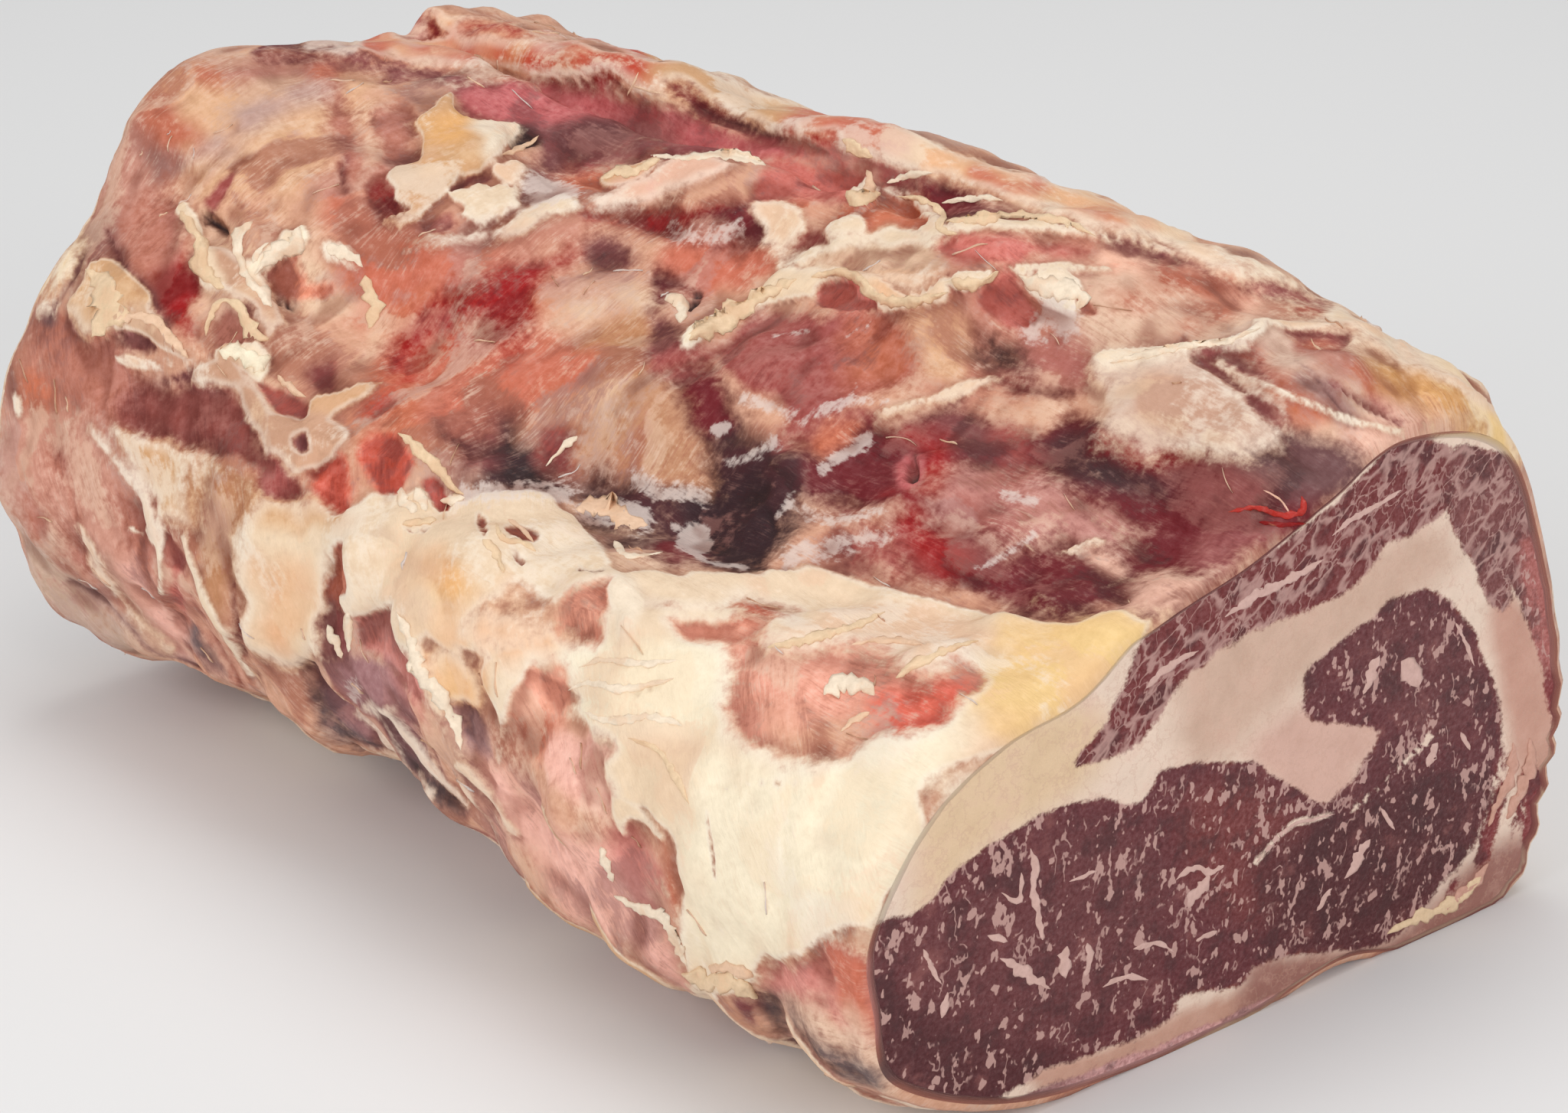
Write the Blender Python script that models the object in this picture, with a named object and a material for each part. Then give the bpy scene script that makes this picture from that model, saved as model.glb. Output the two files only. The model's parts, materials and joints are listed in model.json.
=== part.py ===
"""A raw beef rib roast without its bones: one thick piece of meat, cut square at both ends.

Metres, +Z up. The length runs along X, with the marbled cut at +X. The side where the ribs were
taken off is at -Y, and the fat cap comes up the +Y side and ends in a rolled lip along the top.
The origin is under the middle of the meat, on the table.
"""

import bpy
import numpy as np

for old in list(bpy.data.objects):
    bpy.data.objects.remove(old, do_unlink=True)

MM = 0.001
LENGTH = 306 * MM  # from one cut to the other, along the table
FAR_CUT_LEAN = 0.16  # how far the far cut leans back for each metre of height
LEAN_PIVOT = 60 * MM
SOLE = 2.2 * MM  # the underside is pressed flat up to this height
CUT_EDGE = 2 * MM  # rounding of the marbled cut's edge
CUT_SWELL = 1.2 * MM
FAR_EDGE = 9 * MM  # the far cut is softer and rounder
FAR_SWELL = 4 * MM
END_RINGS = (0.80, 0.52, 0.26)
FORM_SETTLES = 0.05  # the swellings of the form reach their height over this share of the length
ROWS = 74  # rings of the mesh from cut to cut
CROWDING = 0.21  # how much closer together the rings lie by the two cuts
SEED = 41

# The outline of the marbled cut, as named places round it: millimetres across, millimetres up.
OUTLINE = {
    "keel": (0, 0),
    "front_foot": (-55, 4),
    "toe": (-92, 21),
    "low_belly": (-99, 40),
    "belly": (-100, 57),
    "shoulder": (-86, 77),
    "bench": (-66, 87),
    "fat_ridge": (-44, 90),
    "valley": (-25, 101),
    "spinalis": (0, 107),
    "cap": (22, 114),
    "crest": (44, 121),
    "back_shoulder": (75, 112),
    "back_upper": (91, 84),
    "back_belly": (101, 50),
    "back_low": (99, 28),
    "back_foot": (89, 4),
    "heel": (56, 0),
    "notch": (33, 4),
}
PLACES = list(OUTLINE)
STEPS = 3  # mesh steps from one place to the next
FINE_STEPS = {
    "toe": 4,
    "shoulder": 4,
    "bench": 4,
    "fat_ridge": 4,
    "valley": 4,
    "spinalis": 4,
    "cap": 8,
    "crest": 7,
    "back_upper": 2,
    "back_low": 4,
    "heel": 2,
    "notch": 2,
    "keel": 2,
}

# Swellings and hollows of the big form. Each has the place it is centred on, its reach round the
# meat in places, its share of the way to the far cut, its reach along, and its height in mm.
FORM = [
    ("back shoulder swells behind the cut", "back_shoulder", 1.1, 0.06, 0.05, 7),
    ("crest swells behind the cut", "crest", 1.2, 0.24, 0.14, 8),
    ("crest over the middle", "crest", 1.4, 0.52, 0.22, 10),
    ("back shoulder over the middle", "back_shoulder", 1.3, 0.42, 0.18, 7),
    ("front foot by the cut", "toe", 1.0, 0.05, 0.06, 2),
    ("front foot", "toe", 1.2, 0.27, 0.08, 2),
    ("front tucks in", "toe", 1.4, 0.55, 0.12, -8),
    ("front top of the far end", "fat_ridge", 1.7, 1.00, 0.22, 24),
    ("corner of the far end", "valley", 1.1, 0.97, 0.10, 5),
    ("side of the far end", "fat_ridge", 0.7, 1.00, 0.08, 3),
    ("middle of the far end", "spinalis", 2.2, 1.00, 0.27, 21),
    ("top of the far end", "crest", 1.5, 1.00, 0.25, 3.5),
    ("belly of the far end", "belly", 1.6, 1.00, 0.16, -2),
    ("front under the far end", "toe", 1.2, 0.78, 0.10, -5),
    ("toe of the far end", "low_belly", 0.9, 1.00, 0.09, 2),
    ("underside settles on the table", "notch", 1.3, 0.55, 0.25, 4),
]

# The lip: the fat cap's edge rolls over the top and leaves a crevice in front of it.
LIP_AT = ("crest", 0.75, -0.05)  # place, then offset from it at the near and at the far cut
LIP_WIDTH = 0.32
LIP_RISE = 4.0 * MM
LIP_OVER = 5.0 * MM  # the roll leans this far over the crevice
CREVICE_AHEAD = 0.45  # places in front of the lip
CREVICE_WIDTH = 0.14
CREVICE_DEPTH = 8.0 * MM
CREVICE_STARTS = 0.30

# Bands of meat left between the ribs, across the front side.
BANDS = (0.245, 0.38, 0.52, 0.667, 0.813, 0.945)
BAND_WIDTH = 0.044
BAND_HEIGHT = 2.6 * MM
BAND_SLANT = 0.028  # each band runs on towards the far end as it goes up
BAND_MIDDLE = "low_belly"
BAND_REACH = 2.0

# The torn edge where the fat of the front side stops and bare meat begins: share of the way to
# the far cut, then how many places it lies above the shoulder.
FAT_EDGE = ((0.0, 2.8), (0.043, 2.7), (0.163, 2.0), (0.24, 1.1), (0.32, 0.7), (0.44, 0.7), (0.61, 0.2))
FAT_STEP = 2.6 * MM
FAT_STEP_WIDTH = 0.16

# Smaller shapes on the skin: what it is, place, offset in places, share of the way to the far
# cut, reach round in places, reach along, height in mm.
RELIEF = [
    ("bare meat sinks behind the fat edge", "fat_ridge", 0.10, 0.41, 0.60, 0.085, -3.0),
    ("bare meat by the cut", "spinalis", -0.40, 0.13, 0.60, 0.070, -1.5),
    ("plate of tan fat", "valley", -0.37, 0.50, 0.40, 0.040, 2.2),
    ("smooth muscle", "spinalis", 0.00, 0.40, 0.45, 0.050, 2.0),
    ("sunk spot behind it", "cap", -0.18, 0.295, 0.30, 0.025, -3.0),
    ("fat over the top", "cap", 0.00, 0.129, 0.45, 0.050, 1.8),
    ("long flap, low end", "valley", 0.55, 0.497, 0.22, 0.016, 1.8),
    ("long flap, middle", "spinalis", 0.45, 0.490, 0.30, 0.018, 2.0),
    ("long flap, top", "cap", 0.05, 0.400, 0.22, 0.040, 1.8),
    ("pale oval", "cap", 0.24, 0.672, 0.25, 0.035, 2.4),
    ("cream flap", "spinalis", 0.05, 0.765, 0.40, 0.032, 2.6),
    ("ragged fat, first tuft", "bench", 0.70, 0.825, 0.25, 0.022, 2.6),
    ("ragged fat, second tuft", "fat_ridge", 0.15, 0.780, 0.30, 0.020, 2.6),
    ("ragged fat, third tuft", "bench", 0.05, 0.780, 0.25, 0.022, 2.4),
    ("hole by the first tuft", "bench", 0.41, 0.856, 0.13, 0.014, -3.2),
    ("hole between the tufts", "bench", 0.40, 0.770, 0.12, 0.012, -2.6),
    ("first fat lump", "shoulder", -0.22, 0.564, 0.28, 0.024, 2.6),
    ("second fat lump", "shoulder", 0.10, 0.489, 0.35, 0.024, 2.8),
    ("third fat lump", "bench", -0.40, 0.365, 0.30, 0.026, 2.8),
    ("fourth fat lump", "bench", -0.25, 0.305, 0.28, 0.020, 2.0),
    ("fold between the lumps", "shoulder", -0.10, 0.527, 0.40, 0.010, -2.4),
    ("second fold between the lumps", "shoulder", 0.40, 0.425, 0.40, 0.012, -2.0),
    ("torn tuft at the toe", "toe", 0.27, 0.141, 0.30, 0.016, 3.0),
    ("torn tuft by the cut", "toe", 0.55, 0.045, 0.30, 0.016, 2.5),
    ("crease under the toe", "toe", 0.10, 0.095, 0.50, 0.014, -3.0),
    ("fat lump at the back foot", "back_foot", 0.05, 0.030, 0.35, 0.020, 3.0),
    ("second lump at the back foot", "back_low", 0.45, 0.060, 0.20, 0.020, 3.0),
]

# Sheets of fat that stand apart where the cut meets the back.
SHEETS_AT = "back_low"
SHEETS_APART = 0.36
SHEET_HEIGHT = 1.3 * MM
SHEETS_END = 0.12

# Unevenness of the skin: size of the waves in mm, their height in mm, how many cross.
WAVES = ((60, 1.5, 7), (26, 0.9, 12), (13, 0.45, 16))


def bell(x):
    return np.exp(-0.5 * x * x)


def rise(x, start, end):
    t = np.clip((x - start) / (end - start), 0, 1)
    return t * t * (3 - 2 * t)


def round_trip(u):
    """Difference in places, taken the short way round the meat."""
    n = len(PLACES)
    return (u + n / 2) % n - n / 2


def place(name):
    return float(PLACES.index(name))


def mesh_steps():
    """Where the mesh lines run: whole numbers are the named places."""
    out = []
    for k, name in enumerate(PLACES):
        steps = FINE_STEPS.get(name, STEPS)
        out += [k + j / steps for j in range(steps)]
    return np.array(out)


def outline_at(u):
    """Smooth closed curve through the named places."""
    points = np.array([OUTLINE[name] for name in PLACES], float) * MM
    n = len(points)
    i = np.floor(u).astype(int)
    f = (u - i)[..., None]
    a, b = points[(i - 1) % n], points[i % n]
    c, d = points[(i + 1) % n], points[(i + 2) % n]
    curve = 2 * b + (c - a) * f + (2 * a - 5 * b + 4 * c - d) * f**2
    return 0.5 * (curve + (3 * b - a - 3 * c + d) * f**3)


def outward_at(u):
    """Unit vectors that point out of the outline, evened over half a place each way."""
    total = np.zeros(u.shape + (2,))
    for shift in (-0.6, -0.3, 0.0, 0.3, 0.6):
        along = outline_at(u + shift + 0.05) - outline_at(u + shift - 0.05)
        total += np.stack([-along[..., 1], along[..., 0]], -1)
    return total / np.linalg.norm(total, axis=-1, keepdims=True)


def form(u, s):
    height = 0 * (u + s)
    for _, name, wide, share, reach, mm in FORM:
        round_it = bell(round_trip(u - place(name)) / wide)
        height = height + mm * MM * round_it * bell((s - share) / reach)
    return height


def lip(u, s):
    """Rise of the lip with its crevice, and the lean of the lip over it."""
    name, near, far = LIP_AT
    off = round_trip(u - place(name) - near - (far - near) * s)
    roll = bell(off / LIP_WIDTH) * rise(s, 0.04, 0.25)
    ahead = (off + CREVICE_AHEAD) / CREVICE_WIDTH
    fold = bell(ahead) * rise(s, CREVICE_STARTS, CREVICE_STARTS + 0.2)
    fold = fold * (1 - 0.7 * rise(s, 0.88, 0.98))
    return LIP_RISE * roll - CREVICE_DEPTH * fold, LIP_OVER * roll * rise(s, 0.15, 0.45)


def bands(u, s):
    """Swellings between the rib beds, with a crease between each two."""
    off = round_trip(u - place(BAND_MIDDLE))
    height = 0 * (u + s)
    for share in BANDS:
        height = height + bell((s - share - BAND_SLANT * off) / BAND_WIDTH)
    height = BAND_HEIGHT * (1.6 * np.clip(height, 0, 1) - 0.9)
    return height * bell(off / BAND_REACH) * rise(s, 0.15, 0.22)


def fat_step(u, s):
    """The front side's fat stands above the bare meat along its torn edge."""
    shares = np.array([share for share, _ in FAT_EDGE])
    above = np.array([places for _, places in FAT_EDGE])
    edge = place("shoulder") + np.interp(s, shares, above)
    off = round_trip(u - edge)
    step = 0.5 - 0.5 * np.tanh(off / FAT_STEP_WIDTH)
    return FAT_STEP * step * bell(np.minimum(off, 0) / 1.2) * (1 - rise(s, 0.5, 0.68))


def relief(u, s):
    height = 0 * (u + s)
    for _, name, offset, share, wide, along, mm in RELIEF:
        round_it = bell(round_trip(u - place(name) - offset) / wide)
        height = height + mm * MM * round_it * bell((s - share) / along)
    off = round_trip(u - place(SHEETS_AT))
    sheets = np.sin(off / SHEETS_APART * 2 * np.pi) * bell(off / 0.8)
    return height + SHEET_HEIGHT * sheets * (1 - rise(s, 0.02, SHEETS_END))


def unevenness(x, y, z):
    """Soft seeded waves in space, as the surface of cut and torn meat has."""
    chance = np.random.default_rng(SEED)
    total = 0 * x
    for size, height, count in WAVES:
        for _ in range(count):
            way = chance.normal(size=3)
            way *= 2 * np.pi / (size * MM * np.linalg.norm(way))
            turn = chance.uniform(0, 2 * np.pi)
            wave = np.sin(way[0] * x + way[1] * y + way[2] * z + turn)
            total = total + wave * height * MM / np.sqrt(count)
    return total


def rounding(distance, radius):
    """How far a rounded edge stands back at a distance from its face."""
    t = 1 - np.clip(distance / radius, 0, 1)
    return radius * (1 - np.sqrt(1 - t * t))


def shares(rows):
    """Shares of the way from the marbled cut to the far one, closer together at both."""
    s = np.linspace(0, 1, rows)
    return s - CROWDING * np.sin(2 * np.pi * s) / (2 * np.pi)


def surface(u, s):
    """Points of the skin at places u round the meat and shares s of the way along it."""
    out = outward_at(u)
    lip_rise, lip_over = lip(u, s)
    grown = form(u, s) * rise(s, -FORM_SETTLES / 2, FORM_SETTLES)
    grown = grown + lip_rise + bands(u, s) + fat_step(u, s) + relief(u, s)
    core = outline_at(u) + out * grown[..., None]
    x = LENGTH * (0.5 - s) + 0 * grown
    y = core[..., 0] - lip_over
    z = core[..., 1]
    skin = unevenness(x, y, z) * rise(s, 0.0, FORM_SETTLES)
    skin = skin - rounding(s * LENGTH, CUT_EDGE) - rounding((1 - s) * LENGTH, FAR_EDGE)
    y = y + out[..., 0] * skin
    z = z + out[..., 1] * skin
    x = x - rise(s, 0.2, 1.0) * FAR_CUT_LEAN * (z - LEAN_PIVOT)
    return np.stack([x, y, np.maximum(z, SOLE)], -1)


def end_rings(rim, swell):
    """Rings that close one end, each a smaller copy of the rim, swelling out by a little."""
    middle = rim.mean(axis=0)
    rings = []
    for share in END_RINGS:
        ring = middle + (rim - middle) * share
        ring[:, 0] += swell * (1 - share**2)
        rings.append(ring)
    return rings, middle + np.array([swell, 0, 0])


def roast():
    rings = list(surface(mesh_steps()[None, :], shares(ROWS)[:, None]))
    near, near_middle = end_rings(rings[0], CUT_SWELL)
    far, far_middle = end_rings(rings[-1], -FAR_SWELL)
    rings = near[::-1] + rings + far
    count = len(rings[0])
    points = np.concatenate(rings + [near_middle[None], far_middle[None]])
    faces = []
    for i in range(len(rings) - 1):
        for j in range(count):
            k = (j + 1) % count
            a, b = i * count + j, i * count + k
            faces.append((a, b, b + count, a + count))
    last = (len(rings) - 1) * count
    first_tip = len(points) - 2
    for j in range(count):
        k = (j + 1) % count
        faces.append((first_tip, k, j))
        faces.append((first_tip + 1, last + j, last + k))
    low, high = points.min(axis=0), points.max(axis=0)
    points -= np.array([(low[0] + high[0]) / 2, (low[1] + high[1]) / 2, low[2]])
    mesh = bpy.data.meshes.new("rib_roast")
    mesh.from_pydata(points.tolist(), [], faces)
    mesh.validate()
    mesh.update()
    body = bpy.data.objects.new("rib_roast", mesh)
    bpy.context.scene.collection.objects.link(body)
    return body


def raw_beef():
    material = bpy.data.materials.new("raw beef and fat")
    material.use_nodes = True
    shader = material.node_tree.nodes["Principled BSDF"]
    shader.inputs["Base Color"].default_value = (0.55, 0.25, 0.19, 1)
    shader.inputs["Roughness"].default_value = 0.45
    shader.inputs["Metallic"].default_value = 0.0
    return material


meat = roast()
meat.data.materials.append(raw_beef())
corners = np.array([v.co for v in meat.data.vertices])
print("roast", np.round((corners.max(axis=0) - corners.min(axis=0)) * 1000, 1), "mm")
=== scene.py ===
# %% [markdown]
# # A raw beef rib roast
# A rib roast without its bones is one block of meat: lean muscles, layers of fat between them, and
# a torn skin of fat and membrane where the hide and the ribs were taken off. This lesson builds
# how it looks. The solid model comes first, as a fixed frame that nothing here may move.

# %% Load the solid model
import json
import math
import random

import bpy
import numpy as np
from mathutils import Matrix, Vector
from mathutils.bvhtree import BVHTree

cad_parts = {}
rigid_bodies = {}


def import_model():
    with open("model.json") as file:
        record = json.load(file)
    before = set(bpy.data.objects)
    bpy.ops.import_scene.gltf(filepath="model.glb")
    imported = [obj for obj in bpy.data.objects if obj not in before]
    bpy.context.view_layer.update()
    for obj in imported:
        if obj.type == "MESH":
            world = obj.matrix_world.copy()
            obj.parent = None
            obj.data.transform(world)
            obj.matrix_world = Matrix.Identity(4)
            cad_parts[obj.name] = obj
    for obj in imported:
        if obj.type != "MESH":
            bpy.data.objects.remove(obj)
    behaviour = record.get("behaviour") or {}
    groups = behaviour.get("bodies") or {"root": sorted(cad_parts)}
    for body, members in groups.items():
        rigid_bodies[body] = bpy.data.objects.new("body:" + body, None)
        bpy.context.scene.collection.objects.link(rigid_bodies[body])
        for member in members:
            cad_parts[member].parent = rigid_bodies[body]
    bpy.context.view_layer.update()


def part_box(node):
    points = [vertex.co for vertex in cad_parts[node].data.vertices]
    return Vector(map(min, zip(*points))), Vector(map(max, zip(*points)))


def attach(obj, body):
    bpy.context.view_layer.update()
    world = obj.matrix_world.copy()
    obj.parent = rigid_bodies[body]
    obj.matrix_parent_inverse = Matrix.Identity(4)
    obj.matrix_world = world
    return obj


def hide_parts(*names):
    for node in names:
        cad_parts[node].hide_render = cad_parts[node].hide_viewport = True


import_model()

roast_low, roast_high = (np.array(corner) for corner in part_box("rib_roast"))
print("the solid roast, in mm:", np.round((roast_high - roast_low) * 1000))

# %% [markdown]
# ## The camera
# The marbled cut is flat and stands upright on the table, so its outline in the photo gives the
# camera: how far it is turned, how high it looks from and how long its lens is. The camera comes
# first, because the same numbers later say where in the photo each point of the meat lies.

# %% Camera
MM = 0.001
PHOTO_WIDTH = 2048
PHOTO_HEIGHT = 1454
LENS_IN_PIXELS = 5530
SENSOR_WIDTH = 36.0
camera_turn = math.radians(49.6)
camera_rise = math.radians(23.0)
camera_distance = 0.967
camera_aim = np.array((0.0018, 0.0141, 0.0502))

camera_back = np.array(
    (
        math.sin(camera_turn) * math.cos(camera_rise),
        -math.cos(camera_turn) * math.cos(camera_rise),
        math.sin(camera_rise),
    )
)
camera_right = np.array((math.cos(camera_turn), math.sin(camera_turn), 0.0))
camera_up = np.cross(camera_back, camera_right)
camera_eye = camera_aim + camera_back * camera_distance


def put(name, data):
    """A new object of the scene."""
    made = bpy.data.objects.new(name, data)
    bpy.context.scene.collection.objects.link(made)
    return made


def place_camera():
    lens = bpy.data.cameras.new("photo view")
    lens.sensor_width = SENSOR_WIDTH
    lens.lens = SENSOR_WIDTH * LENS_IN_PIXELS / PHOTO_WIDTH
    camera = put("photo_view", lens)
    columns = (camera_right, camera_up, camera_back)
    for row in range(3):
        for column in range(3):
            camera.matrix_world[row][column] = columns[column][row]
        camera.matrix_world[row][3] = camera_eye[row]
    bpy.context.scene.camera = camera
    return camera


def in_photo(points):
    """Photo pixels across and down of points, and how many pixels one millimetre takes there."""
    seen = points - camera_eye
    depth = -(seen @ camera_back)
    scale = LENS_IN_PIXELS / depth
    across = PHOTO_WIDTH / 2 + scale * (seen @ camera_right)
    down = PHOTO_HEIGHT / 2 - scale * (seen @ camera_up)
    return across, down, scale * MM


camera = place_camera()
print("lens:", round(camera.data.lens, 1), "mm")

# %% [markdown]
# ## Floor and light
# A butcher's photo is lit by large soft boxes, so that the meat shows its colour and only small
# wet spots shine. A pale floor and a bright even sky give the fill, and three big area lamps give
# the direction: one overhead and behind, one before the rib side and one before the cut.

# %% Floor, sky and lamps
FLOOR_SIZE = 6.0
FLOOR_TONE = (0.80, 0.80, 0.80, 1)
FLOOR_ROUGHNESS = 0.9
SKY_TONE = (1.0, 1.0, 1.0, 1)
SKY_STRENGTH = 0.45
LAMP_AIM_HEIGHT = 50 * MM
LAMPS = {
    "overhead box": ((-0.2, 0.4, 1.6), 1.2, 9.5),
    "front box": ((-0.1, -1.5, 0.8), 1.1, 11.0),
    "cut side box": ((1.5, -0.2, 0.7), 0.9, 8.5),
}


def build_floor():
    half = FLOOR_SIZE / 2
    mesh = bpy.data.meshes.new("floor")
    corners = [(-half, -half, 0), (half, -half, 0), (half, half, 0), (-half, half, 0)]
    mesh.from_pydata(corners, [], [(0, 1, 2, 3)])
    floor = put("floor", mesh)
    paint = bpy.data.materials.new("pale floor")
    paint.use_nodes = True
    shader = paint.node_tree.nodes["Principled BSDF"]
    shader.inputs["Base Color"].default_value = FLOOR_TONE
    shader.inputs["Roughness"].default_value = FLOOR_ROUGHNESS
    mesh.materials.append(paint)


def light_sky():
    world = bpy.data.worlds.new("studio")
    world.use_nodes = True
    sky = world.node_tree.nodes["Background"]
    sky.inputs["Color"].default_value = SKY_TONE
    sky.inputs["Strength"].default_value = SKY_STRENGTH
    bpy.context.scene.world = world


def soft_box(name, spot, size, power):
    """A square lamp of a size in metres and a power in watts that faces the meat."""
    lamp = bpy.data.lights.new(name, "AREA")
    lamp.shape = "SQUARE"
    lamp.size = size
    lamp.energy = power
    box = put(name, lamp)
    box.location = spot
    to_meat = -box.location.copy()
    to_meat.z += LAMP_AIM_HEIGHT
    box.rotation_euler = to_meat.to_track_quat("-Z", "Y").to_euler()


build_floor()
light_sky()
for name, (spot, size, power) in LAMPS.items():
    soft_box(name, spot, size, power)
bpy.context.scene.view_settings.view_transform = "Standard"

# %% [markdown]
# ## The form of the roast
# The body is a loft: the outline of the marbled cut is a closed curve through named places, and
# it runs back to the far cut while bell-shaped swellings and hollows push it out and in. These
# are the same named values as in the solid model, so the fine surface lies on the solid one.

# %% Named places and swellings
LENGTH = 306 * MM
FAR_CUT_LEAN = 0.16
LEAN_PIVOT = 60 * MM
SOLE = 2.2 * MM
CUT_EDGE = 2 * MM
CUT_SWELL = 1.2 * MM
FAR_EDGE = 9 * MM
FAR_SWELL = 4 * MM
FORM_SETTLES = 0.05
CROWDING = 0.21
FORM_SEED = 41

OUTLINE = {
    "keel": (0, 0),
    "front_foot": (-55, 4),
    "toe": (-92, 21),
    "low_belly": (-99, 40),
    "belly": (-100, 57),
    "shoulder": (-86, 77),
    "bench": (-66, 87),
    "fat_ridge": (-44, 90),
    "valley": (-25, 101),
    "spinalis": (0, 107),
    "cap": (22, 114),
    "crest": (44, 121),
    "back_shoulder": (75, 112),
    "back_upper": (91, 84),
    "back_belly": (101, 50),
    "back_low": (99, 28),
    "back_foot": (89, 4),
    "heel": (56, 0),
    "notch": (33, 4),
}
PLACES = list(OUTLINE)

FORM = [
    ("back shoulder swells behind the cut", "back_shoulder", 1.1, 0.06, 0.05, 7),
    ("crest swells behind the cut", "crest", 1.2, 0.24, 0.14, 8),
    ("crest over the middle", "crest", 1.4, 0.52, 0.22, 10),
    ("back shoulder over the middle", "back_shoulder", 1.3, 0.42, 0.18, 7),
    ("front foot by the cut", "toe", 1.0, 0.05, 0.06, 2),
    ("front foot", "toe", 1.2, 0.27, 0.08, 2),
    ("front tucks in", "toe", 1.4, 0.55, 0.12, -8),
    ("front top of the far end", "fat_ridge", 1.7, 1.00, 0.22, 24),
    ("corner of the far end", "valley", 1.1, 0.97, 0.10, 5),
    ("side of the far end", "fat_ridge", 0.7, 1.00, 0.08, 3),
    ("middle of the far end", "spinalis", 2.2, 1.00, 0.27, 21),
    ("top of the far end", "crest", 1.5, 1.00, 0.25, 3.5),
    ("belly of the far end", "belly", 1.6, 1.00, 0.16, -2),
    ("front under the far end", "toe", 1.2, 0.78, 0.10, -5),
    ("toe of the far end", "low_belly", 0.9, 1.00, 0.09, 2),
    ("underside settles on the table", "notch", 1.3, 0.55, 0.25, 4),
]

LIP_AT = ("crest", 0.75, -0.05)
LIP_WIDTH = 0.32
LIP_RISE = 4.0 * MM
LIP_OVER = 5.0 * MM
CREVICE_AHEAD = 0.45
CREVICE_WIDTH = 0.14
CREVICE_DEPTH = 8.0 * MM
CREVICE_STARTS = 0.30

BANDS = (0.245, 0.38, 0.52, 0.667, 0.813, 0.945)
BAND_WIDTH = 0.044
BAND_HEIGHT = 2.6 * MM
BAND_SLANT = 0.028
BAND_MIDDLE = "low_belly"
BAND_REACH = 2.0

FAT_EDGE = (
    (0.0, 2.8),
    (0.043, 2.7),
    (0.163, 2.0),
    (0.24, 1.1),
    (0.32, 0.7),
    (0.44, 0.7),
    (0.61, 0.2),
)
FAT_STEP = 2.6 * MM
FAT_STEP_WIDTH = 0.16

RELIEF = [
    ("bare meat sinks behind the fat edge", "fat_ridge", 0.10, 0.41, 0.60, 0.085, -3.0),
    ("bare meat by the cut", "spinalis", -0.40, 0.13, 0.60, 0.070, -1.5),
    ("plate of tan fat", "valley", -0.37, 0.50, 0.40, 0.040, 2.2),
    ("smooth muscle", "spinalis", 0.00, 0.40, 0.45, 0.050, 2.0),
    ("sunk spot behind it", "cap", -0.18, 0.295, 0.30, 0.025, -3.0),
    ("fat over the top", "cap", 0.00, 0.129, 0.45, 0.050, 1.8),
    ("long flap, low end", "valley", 0.55, 0.497, 0.22, 0.016, 1.8),
    ("long flap, middle", "spinalis", 0.45, 0.490, 0.30, 0.018, 2.0),
    ("long flap, top", "cap", 0.05, 0.400, 0.22, 0.040, 1.8),
    ("pale oval", "cap", 0.24, 0.672, 0.25, 0.035, 2.4),
    ("cream flap", "spinalis", 0.05, 0.765, 0.40, 0.032, 2.6),
    ("ragged fat, first tuft", "bench", 0.70, 0.825, 0.25, 0.022, 2.6),
    ("ragged fat, second tuft", "fat_ridge", 0.15, 0.780, 0.30, 0.020, 2.6),
    ("ragged fat, third tuft", "bench", 0.05, 0.780, 0.25, 0.022, 2.4),
    ("hole by the first tuft", "bench", 0.41, 0.856, 0.13, 0.014, -3.2),
    ("hole between the tufts", "bench", 0.40, 0.770, 0.12, 0.012, -2.6),
    ("first fat lump", "shoulder", -0.22, 0.564, 0.28, 0.024, 2.6),
    ("second fat lump", "shoulder", 0.10, 0.489, 0.35, 0.024, 2.8),
    ("third fat lump", "bench", -0.40, 0.365, 0.30, 0.026, 2.8),
    ("fourth fat lump", "bench", -0.25, 0.305, 0.28, 0.020, 2.0),
    ("fold between the lumps", "shoulder", -0.10, 0.527, 0.40, 0.010, -2.4),
    ("second fold between the lumps", "shoulder", 0.40, 0.425, 0.40, 0.012, -2.0),
    ("torn tuft at the toe", "toe", 0.27, 0.141, 0.30, 0.016, 3.0),
    ("torn tuft by the cut", "toe", 0.55, 0.045, 0.30, 0.016, 2.5),
    ("crease under the toe", "toe", 0.10, 0.095, 0.50, 0.014, -3.0),
    ("fat lump at the back foot", "back_foot", 0.05, 0.030, 0.35, 0.020, 3.0),
    ("second lump at the back foot", "back_low", 0.45, 0.060, 0.20, 0.020, 3.0),
]
SHEETS_AT = "back_low"
SHEETS_APART = 0.36
SHEET_HEIGHT = 1.3 * MM
SHEETS_END = 0.12
WAVES = ((60, 1.5, 7), (26, 0.9, 12), (13, 0.45, 16))
print(len(PLACES), "places round the meat,", len(FORM) + len(RELIEF), "swellings and hollows")


# %% Curves and bells
def bell(x):
    return np.exp(-0.5 * x * x)


def rise(x, start, end):
    t = np.clip((x - start) / (end - start), 0, 1)
    return t * t * (3 - 2 * t)


def round_trip(u):
    """Difference in places, taken the short way round the meat."""
    n = len(PLACES)
    return (u + n / 2) % n - n / 2


def place(name):
    return float(PLACES.index(name))


def outline_at(u):
    """Smooth closed curve through the named places."""
    points = np.array([OUTLINE[name] for name in PLACES], float) * MM
    n = len(points)
    i = np.floor(u).astype(int)
    f = (u - i)[..., None]
    a, b = points[(i - 1) % n], points[i % n]
    c, d = points[(i + 1) % n], points[(i + 2) % n]
    curve = 2 * b + (c - a) * f + (2 * a - 5 * b + 4 * c - d) * f**2
    return 0.5 * (curve + (3 * b - a - 3 * c + d) * f**3)


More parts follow.
